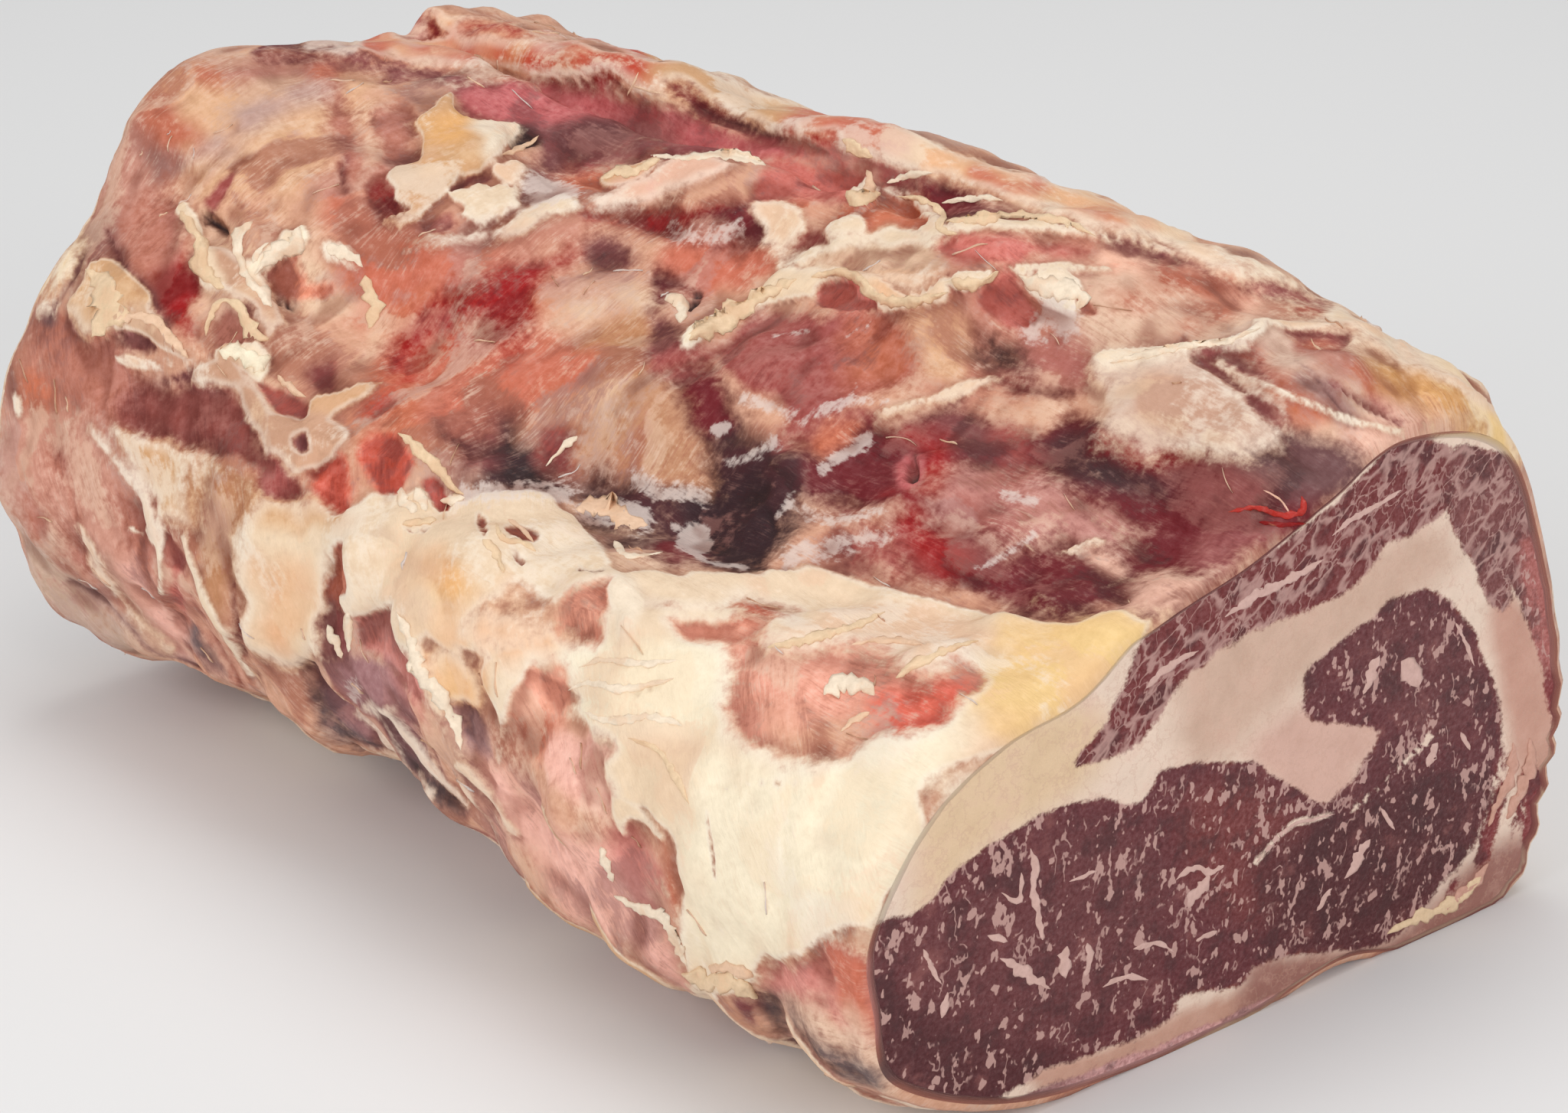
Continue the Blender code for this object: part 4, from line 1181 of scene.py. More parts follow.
CUT_TONES = {
    "cut fat": "ecd3c0",
    "warm cut fat": "e4c5a2",
    "grey cut fat": "d4b29e",
    "outer cut fat": "cd9c8a",
    "pink cut fat": "dab1a1",
    "fleck": "d2aca2",
    "fold": "cf9d8b",
    "rim fat": "9c6a5f",
    "strip fat": "c99a86",
    "strip lean": "d09c99",
    "wine cut": "86393a",
    "eye lean": "683236",
    "deep eye lean": "56282b",
    "dark eye lean": "6b383a",
    "red eye lean": "783a39",
    "band lean": "763636",
    "cap lean": "7c4745",
    "outer lean": "b06862",
}
TONES = {name: tone(code) for name, code in {**TONES, **CUT_TONES}.items()}
print(len(CUT_PATCHES), "patches and", len(CUT_SEAMS), "seams of the cut")


# %% Distances to outlines
def corners(text):
    return np.array([[float(v) for v in pair.split(",")] for pair in text.split()])


def rounded(points, closed=True, steps=3):
    """The same outline with soft corners."""
    n = len(points)
    out = []
    last = n if closed else n - 1
    for k in range(last):
        around = range(k - 1, k + 3)
        a, b, c, d = (points[j % n if closed else min(max(j, 0), n - 1)] for j in around)
        for t in np.arange(steps) / steps:
            curve = 2 * b + (c - a) * t + (2 * a - 5 * b + 4 * c - d) * t**2
            out.append(0.5 * (curve + (3 * b - a - 3 * c + d) * t**3))
    if not closed:
        out.append(points[-1])
    return np.array(out)


def edge_distance(across, down, points, closed=True):
    """Distance to an outline in pixels, positive inside it if it is closed."""
    best = np.full(across.shape, 1e9)
    inside = np.zeros(across.shape, bool)
    count = len(points) if closed else len(points) - 1
    for k in range(count):
        a, b = points[k], points[(k + 1) % len(points)]
        edge = b - a
        wx, wy = across - a[0], down - a[1]
        t = np.clip((wx * edge[0] + wy * edge[1]) / (edge @ edge + 1e-9), 0, 1)
        best = np.minimum(best, (wx - t * edge[0]) ** 2 + (wy - t * edge[1]) ** 2)
        if closed:
            crossing = (a[1] <= down) != (b[1] <= down)
            side = across < a[0] + (down - a[1]) * edge[0] / (edge[1] if edge[1] else 1e-9)
            inside ^= crossing & side
    best = np.sqrt(best)
    return np.where(inside, best, -best) if closed else best


# %% [markdown]
# ## Where in the photo each point lies
# The skin's patches are looked up by where each point of the skin falls in the photo. Points that
# face away from it take their tissue from chance, in the same tones, so the back and the
# underside are meat too.

# %% Points of the whole body
NEAR_RINGS = 40
FAR_RINGS = 14
ring_shares = np.linspace(1, 0, NEAR_RINGS + 1)[1:-1] ** 0.85
far_shares = np.linspace(1, 0, FAR_RINGS + 1)[1:-1]


def cap_rings(rim, inner, swell):
    """Rings from the rim of a cut to its middle, and the middle, swollen by `swell`."""
    middle = rim.mean(axis=0)
    rings = middle + (rim - middle) * inner[:, None, None]
    rings[..., 0] += swell * (1 - inner[:, None] ** 2)
    return rings, middle + np.array((swell, 0, 0))


near_rings, near_middle = cap_rings(base[0], ring_shares, CUT_SWELL)
far_rings, far_middle = cap_rings(base[-1], far_shares, -FAR_SWELL)
far_as_near, _ = cap_rings(base[0], far_shares, CUT_SWELL)

outline_length = np.linalg.norm(np.roll(base[0], -1, axis=0) - base[0], axis=-1)
around = np.concatenate([[0], np.cumsum(outline_length)[:-1]]) * 1000
sheet = np.stack(
    [
        base[..., 0] * 1000,
        np.broadcast_to(around, base.shape[:2]),
        0 * base[..., 0],
    ],
    -1,
)
across, down, per_mm = in_photo(base)
to_eye = camera_eye - base
facing = np.einsum("ijk,ijk->ij", normals, to_eye) / np.linalg.norm(to_eye, axis=-1)
trust = rise(facing, 0.0, 0.2)
top = (fine_u >= PLACES.index("valley")) & (fine_u <= PLACES.index("back_shoulder"))
trust = np.maximum(trust, top * rise(facing, -0.6, -0.25))
print("skin that shows in the photo:", round(float((trust > 0.5).mean()), 2))

# %% [markdown]
# ## Fibres
# Torn membrane and lean are streaked. On top the streaks run round the roast at the far end and
# along it near the cut, and on the rib side they run down and forward between the rib beds.

# %% Streaks along three directions
GRAIN = [
    ("round the top", "round", 720, 380, 330, 190),
    ("round the far corner", "round", 330, 190, 200, 150),
    ("smooth muscle", "round", 1060, 470, 130, 70),
    ("along the lip", "along", 1200, 220, 500, 60),
    ("along the near top", "along", 1500, 470, 300, 160),
    ("along the wine muscle", "along", 850, 160, 240, 50),
    ("along the burgundy meat", "along", 1450, 660, 300, 110),
    ("along the fat ridge", "along", 900, 740, 400, 60),
    ("down the rib side", "slant", 450, 850, 350, 200),
    ("down the left flank", "slant", 120, 640, 140, 220),
    ("down the lower side", "slant", 800, 1150, 200, 120),
]
GRAIN_KINDS = ("round", "along", "slant")
SLANT = math.radians(41)
BROAD_SWAY, FINE_SWAY = 24, 9


def grain_weights():
    """How much each direction counts at each point of the skin."""
    weights = {kind: np.full(base.shape[:2], 0.02) for kind in GRAIN_KINDS}
    weights["along"] += 0.05
    for _, kind, x, y, wide, high in GRAIN:
        weights[kind] += trust * np.exp(-(((across - x) / wide) ** 2) - ((down - y) / high) ** 2)
    total = sum(w**2 for w in weights.values())
    return [weights[kind] ** 2 / total for kind in GRAIN_KINDS]


def wander(size, seed):
    """Seeded shifts of the fibres along and round the roast."""
    return np.stack([noise(sheet, size, seed), noise(sheet, size, seed + 1), 0 * sheet[..., 0]], -1)


sway = wander(BROAD_SWAY, 71) + 0.4 * wander(FINE_SWAY, 73)
grain_shares = grain_weights()


def streak_noise(size, seed, octaves=2, stretch=6.0, bend=3.0):
    """Noise drawn out along the fibres, blended between the three directions."""
    x, a = sheet[..., 0] + bend * sway[..., 0], sheet[..., 1] + bend * sway[..., 1]
    slant_along = x * math.cos(SLANT) - a * math.sin(SLANT)
    slant_across = x * math.sin(SLANT) + a * math.cos(SLANT)
    views = (
        np.stack([x, a / stretch, 0 * x], -1),
        np.stack([x / stretch, a, 0 * x + 50], -1),
        np.stack([slant_along / stretch, slant_across, 0 * x + 90], -1),
    )
    total = 0
    for weight, view in zip(grain_shares, views):
        total = total + weight * noise(view, size, seed, octaves)
    return total


# %% Streaks, tears and clouds, their sizes in millimetres
FINE_STREAK, BROAD_STREAK = 4.5, 8.0
FINE_TEAR, BROAD_TEAR = 5.0, 12.0
RED_CLOUD, PALE_CLOUD, COOL_CLOUD = 11, 9, 15
fine_streaks = streak_noise(FINE_STREAK, 11, octaves=1, stretch=4)
broad_streaks = streak_noise(BROAD_STREAK, 12, octaves=2, stretch=3)
skin_in_mm = base * 1000
fine_rag = noise(skin_in_mm, FINE_TEAR, 21, 1)
broad_rag = noise(skin_in_mm, BROAD_TEAR, 22, 2)
cloud_sizes = (RED_CLOUD, PALE_CLOUD, COOL_CLOUD)
clouds = np.stack([streak_noise(size, 80 + size, 2, 2.2, 7.0) for size in cloud_sizes], -1)
print("streaks:", round(float(fine_streaks.std()), 2))
print("clouds:", np.round(clouds.std(axis=(0, 1)), 2))

# %% [markdown]
# ## Painting the patches
# Each patch is laid over the ones before it. Lean opens a window through membrane and fat,
# membrane covers lean, and fat lies on top. Edges are pushed about by chance, more so where they
# are soft, because torn fat ends in tufts and fibres.

# %% Tissue fields
MOST_COVER = 3.0
COVERED_BY = {"lean": ("skin_over", "fat_over"), "skin": ("fat_over",), "fat": ()}


def cover(layer, level):
    return np.clip(np.maximum(layer, level), -MOST_COVER, MOST_COVER)


def uncover(layer, level):
    return np.clip(np.minimum(layer, -level), -MOST_COVER, MOST_COVER)


def empty_fields(shape):
    """Bare ground: membrane everywhere, no fat and no film, with the common tones."""
    return {
        "lean": np.ones(shape + (3,)) * TONES["brown red"],
        "skin": np.ones(shape + (3,)) * TONES["salmon"],
        "fat": np.ones(shape + (3,)) * TONES["cream"],
        "skin_over": np.full(shape, 2.0),
        "fat_over": np.full(shape, -MOST_COVER),
        "film": np.full(shape, -MOST_COVER),
        "height": np.zeros(shape),
    }


def lay(fields, where, tissue, colour, soft, height, distance):
    """Lay one patch over the fields, at the points `where`, from its inside distance in mm."""
    level = distance / soft
    if tissue == "film":
        fields["film"][where] = cover(fields["film"][where], level)
        return
    share = rise(distance, -1.2 - soft, 0.6 * soft)[:, None]
    fields[tissue][where] += share * (colour - fields[tissue][where])
    for layer in COVERED_BY[tissue]:
        fields[layer][where] = uncover(fields[layer][where], level)
    if tissue != "lean":
        layer = tissue + "_over"
        fields[layer][where] = cover(fields[layer][where], level)
    fields["height"][where] += 0.75 * height * rise(distance, -0.5, 0.8)


def near_outline(outline, soft):
    """Points of the skin within reach of an outline."""
    margin = 6 * (4 + 2 * soft)
    low, high = outline.min(axis=0) - margin, outline.max(axis=0) + margin
    near = (across > low[0]) & (across < high[0]) & (down > low[1]) & (down < high[1])
    return np.nonzero(near & ((facing > -0.1) | (trust > 0)))


def paint_skin():
    """The side that the photo shows: every patch and then every stroke."""
    fields = empty_fields(base.shape[:2])
    rag = 0.5 * fine_rag + 0.8 * broad_rag + 0.5 * fine_streaks
    for _, tissue, colour, soft, height, text in PATCHES:
        soft = soft * (1.5 if soft >= 1 else 1.1)
        outline = rounded(corners(text))
        where = near_outline(outline, soft)
        distance = edge_distance(across[where], down[where], outline) / per_mm[where]
        distance += rag[where] * (0.4 + 0.4 * soft)
        lay(fields, where, tissue, TONES[colour], soft, height, distance)
    for _, tissue, colour, soft, height, wide, text in STROKES:
        line = rounded(corners(text), closed=False)
        where = near_outline(line, soft)
        distance = wide / 2 - edge_distance(across[where], down[where], line, closed=False)
        distance = distance / per_mm[where] + rag[where] * (0.15 + 0.4 * soft)
        lay(fields, where, tissue, TONES[colour], soft, height, distance)
    return fields


def paint_hidden():
    """Back, underside and far end: the same tissues, laid by chance."""
    fields = empty_fields(base.shape[:2])
    big = noise(skin_in_mm * (0.5, 1, 1), 38, 31)
    thin = noise(skin_in_mm * (0.35, 1, 1.4), 13, 32, 2)
    warm = noise(skin_in_mm, 30, 33)[..., None]
    low_side = rise(-normals[..., 2], 0.2, 0.8)
    fat_over = 1.6 * big + 1.4 * thin + 0.9 - 1.2 * low_side
    fields["fat_over"] = np.clip(fat_over, -MOST_COVER, MOST_COVER)
    fields["skin_over"] = np.clip(1.2 - 2.6 * thin + 0.6 * big, -MOST_COVER, MOST_COVER)
    share = np.clip(0.5 + 0.8 * warm, 0, 1)
    fields["fat"] = TONES["cream pink"] + share * (TONES["flap cream"] - TONES["cream pink"])
    fields["skin"] = TONES["dusty pink"] + share * (TONES["salmon"] - TONES["dusty pink"])
    fields["lean"] = TONES["wine"] + share * (TONES["brown red"] - TONES["wine"])
    fields["height"] = 0.5 * rise(fields["fat_over"], -0.7, 0.9)
    return fields


seen = paint_skin()
hidden = paint_hidden()
skin_fields = {}
for name, values in seen.items():
    share = trust[..., None] if values.ndim == 3 else trust
    skin_fields[name] = hidden[name] + share * (values - hidden[name])
skin_fields["clouds"] = clouds
print("bare lean on the skin:", round(float((skin_fields["skin_over"] < 0).mean()), 2))

# %% Fields of a cut
MARBLING = {"band lean": 1.0, "cap lean": 0.85, "strip lean": 0.1, "wine cut": 0.0}
EYE_MARBLING = 0.4
CUT_SOFTNESS = 0.7
SEAM_SOFTNESS = 0.45


def paint_cut(points, seed):
    """Muscles and fat of a cut, looked up where the same points of the near cut lie."""
    x, y, scale = in_photo(points)
    shape = points.shape[:-1]
    fields = empty_fields(shape)
    fields["fat"][:] = TONES["cut fat"]
    fields["fat_over"][:] = MOST_COVER
    fields["marbling"] = np.zeros(shape)
    rag = 0.5 * noise(points * 1000, 4.0, seed) + 0.5 * noise(points * 1000, 9.0, seed + 5)
    for _, colour, soft, text in CUT_PATCHES:
        distance = edge_distance(x, y, rounded(corners(text))) / scale + 0.5 * rag
        share = rise(distance, -1 - soft, 0.6 * soft)
        lean = "lean" in colour or colour == "wine cut"
        side = "lean" if lean else "fat"
        fields[side] += share[..., None] * (TONES[colour] - fields[side])
        if not lean and soft < 2:
            fields["fat_over"] = cover(fields["fat_over"], distance / CUT_SOFTNESS)
        if lean and soft < 2:
            fields["fat_over"] = uncover(fields["fat_over"], distance / CUT_SOFTNESS)
            marbling = MARBLING.get(colour, EYE_MARBLING)
            fields["marbling"] += share * (marbling - fields["marbling"])
    for _, wide, text in CUT_SEAMS:
        line = rounded(corners(text), closed=False)
        distance = (wide / 2 - edge_distance(x, y, line, closed=False)) / scale + 0.35 * rag
        fields["fat_over"] = cover(fields["fat_over"], distance / SEAM_SOFTNESS)
    fields["height"] = 0.25 * rise(fields["fat_over"], -1, 1)
    return fields


near_fields = paint_cut(near_rings, 51)
far_fields = paint_cut(far_as_near, 61)
near_tip_fields = paint_cut(near_middle[None], 51)
far_tip_fields = paint_cut(near_middle[None], 61)
print("fat on the cut:", round(float((near_fields["fat_over"] > 0).mean()), 2))

# %% [markdown]
# ## Relief of the torn skin
# Where fat stands over lean there is a step, folds have depth and every fibre is a fine ridge.
# All of it is real shape, a millimetre or two high, added along the skin's normals.

# %% Shape the skin
FIBRE_HEIGHT = 0.25 * MM
BROAD_FIBRE_HEIGHT = 0.4 * MM
LUMP_SIZE = 10.0
LUMP_HEIGHT = 0.45 * MM
CUT_GRAIN = 4.0
FAR_CUT_GRAIN = 7.0
on_fat = rise(skin_fields["fat_over"], -0.8, 0.8)
step_height = 0.4 * on_fat + 0.2 * rise(skin_fields["skin_over"], -0.8, 0.8)
lumps = noise(skin_in_mm, LUMP_SIZE, 41, 2)
grown = (skin_fields["height"] + step_height - 0.5) * MM
grown += FIBRE_HEIGHT * fine_streaks * (1.2 - 0.6 * on_fat)
grown += BROAD_FIBRE_HEIGHT * broad_streaks * (1.1 - 0.5 * on_fat)
grown += LUMP_HEIGHT * lumps
fade = rise(fine_s, 0.0, 0.02) * (1 - 0.6 * rise(fine_s, 0.97, 1.0))
flat_sole = rise(base[..., 2], SOLE * 1.05, SOLE * 3)
grown = grown * fade[:, None] * flat_sole
body_grid = base + normals * grown[..., None]
body_grid[..., 2] = np.maximum(body_grid[..., 2], 0.0)
near_cap = near_rings.copy()
near_grain = noise(near_rings * 1000, CUT_GRAIN, 43)
near_cap[..., 0] += (near_fields["height"] - 0.15 + 0.12 * near_grain) * MM
far_cap = far_rings.copy()
far_grain = noise(far_rings * 1000, FAR_CUT_GRAIN, 44)
far_cap[..., 0] -= (far_fields["height"] + 0.5 * far_grain) * MM
print("relief of the skin in mm:", np.round([grown.min() / MM, grown.max() / MM], 2))


# %% Painted shade of the hollows
def smeared(field, reach):
    """The field averaged over a few points each way."""
    total = 0 * field
    for shift in range(-reach, reach + 1):
        total += np.roll(field, shift, axis=1)
    field = total / (2 * reach + 1)
    padded = np.concatenate([field[:1]] * reach + [field] + [field[-1:]] * reach)
    return sum(padded[k : k + len(field)] for k in range(2 * reach + 1)) / (2 * reach + 1)


# How far each point lies below its neighbours. The skin material darkens these hollows and creases
# by it, as painted shade, less so on fat.
sunk = 0.6 * (smeared(grown, 3) - grown) + 0.6 * (smeared(grown, 7) - grown)
skin_fields["hollow"] = np.clip(sunk / (0.9 * MM), -1, 1)
for fields in (near_fields, far_fields, near_tip_fields, far_tip_fields):
    fields["hollow"] = np.zeros(fields["fat_over"].shape)
    fields["clouds"] = np.zeros(fields["fat_over"].shape + (3,))
print("hollows:", round(float((skin_fields["hollow"] > 0.3).mean()), 2))

# %% [markdown]
# ## One closed body
# The rings of the two cuts and of the skin join into a single closed mesh. Each point carries its
# tissues: three colours, how far membrane and fat cover it, and its place on the skin's sheet for
# the fibres. The materials read them by name.


# %% Join the rings
def join_rings():
    """Points, faces and material slots of the two cuts and the skin as one closed mesh."""
    rings = np.concatenate([near_cap[::-1], body_grid, far_cap])
    count = rings.shape[1]
    points = np.concatenate([rings.reshape(-1, 3), near_middle[None], far_middle[None]])
    i, j = np.meshgrid(np.arange(len(rings) - 1), np.arange(count), indexing="ij")
    k = (j + 1) % count
    quads = np.stack([i * count + j, i * count + k, (i + 1) * count + k, (i + 1) * count + j], -1)
    on_cut = (i < NEAR_RINGS - 1) | (i >= NEAR_RINGS - 2 + FINE_ROWS)
    first, last = len(points) - 2, (len(rings) - 1) * count
    j = np.arange(count)
    k = (j + 1) % count
    near_tip = np.stack([0 * j + first, k, j], -1)
    far_tip = np.stack([0 * j + first + 1, last + j, last + k], -1)
    tips = [near_tip, far_tip]
    faces = quads.reshape(-1, 4).tolist() + np.concatenate(tips).tolist()
    slots = on_cut.reshape(-1).astype(int).tolist() + [1] * (2 * count)
    return points, faces, slots


def whole(name):
    """One field over all points of the body, in the order of the mesh."""
    if name == "marbling":
        skin = np.zeros(base.shape[:2])
    else:
        skin = skin_fields[name]
    parts = [near_fields[name][::-1], skin, far_fields[name]]
    flat = [part.reshape((-1,) + part.shape[2:]) for part in parts]
    return np.concatenate(flat + [near_tip_fields[name], far_tip_fields[name]])


# %% Build the body
COLOUR_FIELDS = ("lean", "skin", "fat")
MASK_FIELDS = ("clouds", "skin_over", "fat_over", "film", "hollow", "marbling")
STORED_FIELDS = COLOUR_FIELDS + MASK_FIELDS


def store(mesh, name, values):
    """Keep a field on the points of a mesh, where the materials find it by name."""
    if values.ndim == 1:
        field = mesh.attributes.new(name, "FLOAT", "POINT")
        field.data.foreach_set("value", values.astype(np.float32))
    elif name in COLOUR_FIELDS:
        field = mesh.attributes.new(name, "FLOAT_COLOR", "POINT")
        rgba = np.concatenate([values, np.ones((len(values), 1))], -1)
        field.data.foreach_set("color", rgba.astype(np.float32).ravel())
    else:
        field = mesh.attributes.new(name, "FLOAT_VECTOR", "POINT")
        field.data.foreach_set("vector", values.astype(np.float32).ravel())


def sheet_of_body():
    """Millimetres along and round the roast on the skin, across and up on the cuts."""
    near, far = near_rings[::-1] * 1000, far_as_near * 1000
    near, far = (np.stack([c[..., 1], c[..., 2], 0 * c[..., 0]], -1) for c in (near, far))
    tip = np.array([[near_middle[1], near_middle[2], 0]]) * 1000
    return np.concatenate([part.reshape(-1, 3) for part in (near, sheet, far, tip, tip)])


def grain_of_body():
    """Shares of the three directions of the fibres. The cuts take the second one."""
    weights = np.stack(grain_shares, -1).reshape(-1, 3)
    flat = np.array([[0.0, 1.0, 0.0]])
    count = base.shape[1]
    near = np.repeat(flat, len(near_rings) * count, axis=0)
    far = np.repeat(flat, len(far_rings) * count, axis=0)
    return np.concatenate([near, weights, far, flat, flat])


def build_body():
    points, faces, slots = join_rings()
    mesh = bpy.data.meshes.new("roast_skin")
    mesh.from_pydata(points.tolist(), [], faces)
    mesh.polygons.foreach_set("use_smooth", [True] * len(faces))
    mesh.polygons.foreach_set("material_index", slots)
    for name in STORED_FIELDS:
        store(mesh, name, whole(name))
    store(mesh, "sheet", sheet_of_body())
    store(mesh, "grain", grain_of_body())
    return put("roast_body", mesh)


body = build_body()
print("body:", len(body.data.vertices), "points,", len(body.data.polygons), "faces")

# %% [markdown]
# ## Torn flakes and strands
# The knife and the hand leave shreds of fat and membrane that stand off the meat: flap edges,
# white strands, lumps and fibres. Each is a thin closed ribbon of its own, laid on the body along
# a path seen in the photo, with a ragged width, so that its edge is crisp and throws a shadow.

# %% Where a photo pixel meets the meat
meat_points = np.array([v.co for v in body.data.vertices])
meat_faces = [list(face.vertices) for face in body.data.polygons]
meat_tree = BVHTree.FromPolygons(meat_points.tolist(), meat_faces)


def look(across, down):
    """Direction from the camera through a photo pixel."""
    right = (across - PHOTO_WIDTH / 2) / LENS_IN_PIXELS
    up = (PHOTO_HEIGHT / 2 - down) / LENS_IN_PIXELS
    ray = right * camera_right + up * camera_up - camera_back
    return ray / np.linalg.norm(ray)


def meet(pixel):
    """Point and normal of the meat under a photo pixel, or nothing."""
    hit, normal, _, _ = meat_tree.ray_cast(Vector(camera_eye), Vector(look(*pixel)))
    if hit is None:
        return None
    return np.array(hit), np.array(normal)


photo_middle = (PHOTO_WIDTH / 2, PHOTO_HEIGHT / 2)
print("meat under the middle of the photo, in mm:", np.round(meet(photo_middle)[0] * 1000))

# %% Ribbons
ACROSS = np.array((-1.0, -0.65, -0.2, 0.25, 0.7, 1.0))
UNDER = np.array((0.8, -0.8))
ROUND = np.concatenate([ACROSS, UNDER])
RING_SPACING = 4.0
TEAR_LENGTH = 7
TEAR_SHARE = 0.4
LUMP_LENGTH = 10
LIES_CLOSE = 5 * MM
SUNK_IN = 0.5


def along_path(points, spacing):
    """Even points on a smooth curve through the given ones, and how far along each lies."""
    curve = rounded(points, closed=False, steps=8)
    reach = np.concatenate([[0], np.cumsum(np.linalg.norm(np.diff(curve, axis=0), axis=1))])
    count = max(7, int(reach[-1] / spacing))
    at = np.linspace(0, reach[-1], count)
    spine = np.stack([np.interp(at, reach, curve[:, k]) for k in (0, 1)], -1)
    return spine, at / reach[-1], at


def lift_at(c, thick, lump, half):
    """How far the top of a ribbon stands off the meat, in millimetres."""
    return 0.55 * thick * (0.2 + 0.8 * (1 - c * c)) * (1 + 0.6 * lump) * min(1, half / 3)


def ribbon(path, widths, thick, seed):
    """Rings of points of a flat closed strip lying on the meat along a path in the photo."""
    spine, share, at = along_path(path, RING_SPACING)
    heading = np.gradient(spine, axis=0)
    heading /= np.linalg.norm(heading, axis=1, keepdims=True) + 1e-9
    side = np.stack([-heading[:, 1], heading[:, 0]], -1)
    half = np.interp(share, np.linspace(0, 1, len(widths)), widths) / 2
    half = half * np.sqrt(np.clip(np.minimum(share, 1 - share) * 9, 0.03, 1))
    rings = []
    for k in range(len(spine)):
        middle = meet(spine[k])
        if middle is None:
            continue
        centre, normal = middle
        px = in_photo(centre)[2] * 1000
        ring = []
        for c in ROUND:
            rag = noise(np.array([[at[k] / TEAR_LENGTH, 40.0 * (c > 0), seed]]), 1.0, seed, 2)[0]
            lump = noise(np.array([[at[k] / LUMP_LENGTH, c * 1.5, seed]]), 1.0, seed + 3, 2)[0]
            shift = side[k] * c * half[k] * (1 + TEAR_SHARE * rag)
            found = meet(spine[k] + shift)
            spot = centre + (shift[0] * camera_right - shift[1] * camera_up) / px
            if found is not None and np.linalg.norm(found[0] - spot) < LIES_CLOSE:
                spot = found[0]
            on_top = len(ring) < len(ACROSS)
            lift = lift_at(c, thick, lump, half[k]) if on_top else -SUNK_IN
            ring.append(spot + normal * lift * MM)
        rings.append(ring)
    return np.array(rings)


def closed_strip(rings, start):
    """Faces of a strip of rings closed at both ends, numbered from `start`."""
    n = rings.shape[1]
    faces = []
    for i in range(len(rings) - 1):
        here, ahead = start + i * n, start + (i + 1) * n
        for j in range(n):
            k = (j + 1) % n
            faces.append((here + j, here + k, ahead + k, ahead + j))
    last = start + (len(rings) - 1) * n
    return faces + [tuple(start + j for j in reversed(range(n))), tuple(last + j for j in range(n))]


# %% Strands and scraps of the far side and the ridge
FLAKES = rows(
    """
left strand: flake cream, 1, 12 12 14 16 24 20 8: 236,276 247,294 261,311 265,329 264,352 281,370
  293,376
middle strand: white fat, 1, 8 12 12 12 10 16 20 14: 330,290 316,301 308,315 312,335 318,352 326,368
  342,384 355,401
chunky strand: white fat, 1.2, 10 26 20 16 6: 391,297 387,319 363,329 342,346 332,360
thin strand beside it: white fat, 0.6, 4 7 5: 351,317 338,327 330,343
white film by the strands: white fat, 0.4, 12 20 14 5: 426,323 444,329 462,337 474,349
tongue of fat: flake cream, 0.9, 12 20 22 6: 477,360 485,384 489,409 481,429
rim of the round window: flake cream, 0.9, 5 7 9 9 13 20 12: 269,439 273,417 289,394 308,396 318,413
  330,433 351,443
white lump: front cream, 1.6, 16 22 26 22: 287,460 308,460 330,466 344,484
fold under the lobe: cream pink, 0.8, 8 10 4: 363,490 379,507 400,519
scraps by the leaf: cream pink, 0.8, 10 13 14 12 7: 152,420 176,412 204,420 220,440 246,468
edge of the tan leaf: flake cream, 0.8, 14 24 36 40 26 8: 112,352 126,362 138,380 144,402 134,424
  120,440
white scrap of the ridge: white fat, 0.8, 10 14 12: 524,637 528,654 545,668
second white scrap: white fat, 0.8, 10 14 12: 543,637 550,654 557,668
white drop by the dark: white fat, 0.8, 8 13 4: 575,654 589,653 607,650
bridge over the slit: flake cream, 1, 10 10 6: 526,685 543,683 570,679
strand of the ridge: flake cream, 0.8, 8 8 8 5: 647,683 659,705 679,708 700,720
second strand of the ridge: flake cream, 0.8, 8 10 5: 630,705 645,719 658,748
third strand of the ridge: cream pink, 0.6, 5 6 4: 664,678 681,690 697,708
white ridge by the lobe: flake cream, 0.9, 10 16 18 14 12 6: 520,566 540,580 556,596 574,616 590,634
  606,646
fibre over the plate: white fat, 0.8, 3 4 9 8: 713,609 722,599 734,586 754,570
grey film on the dark: cream pink, 0.35, 10 28 34 24 8: 751,666 771,660 795,666 829,681 846,686
white hook: white fat, 0.5, 8 10 6 3 2: 802,707 814,722 828,727 850,724 866,721
"""
)

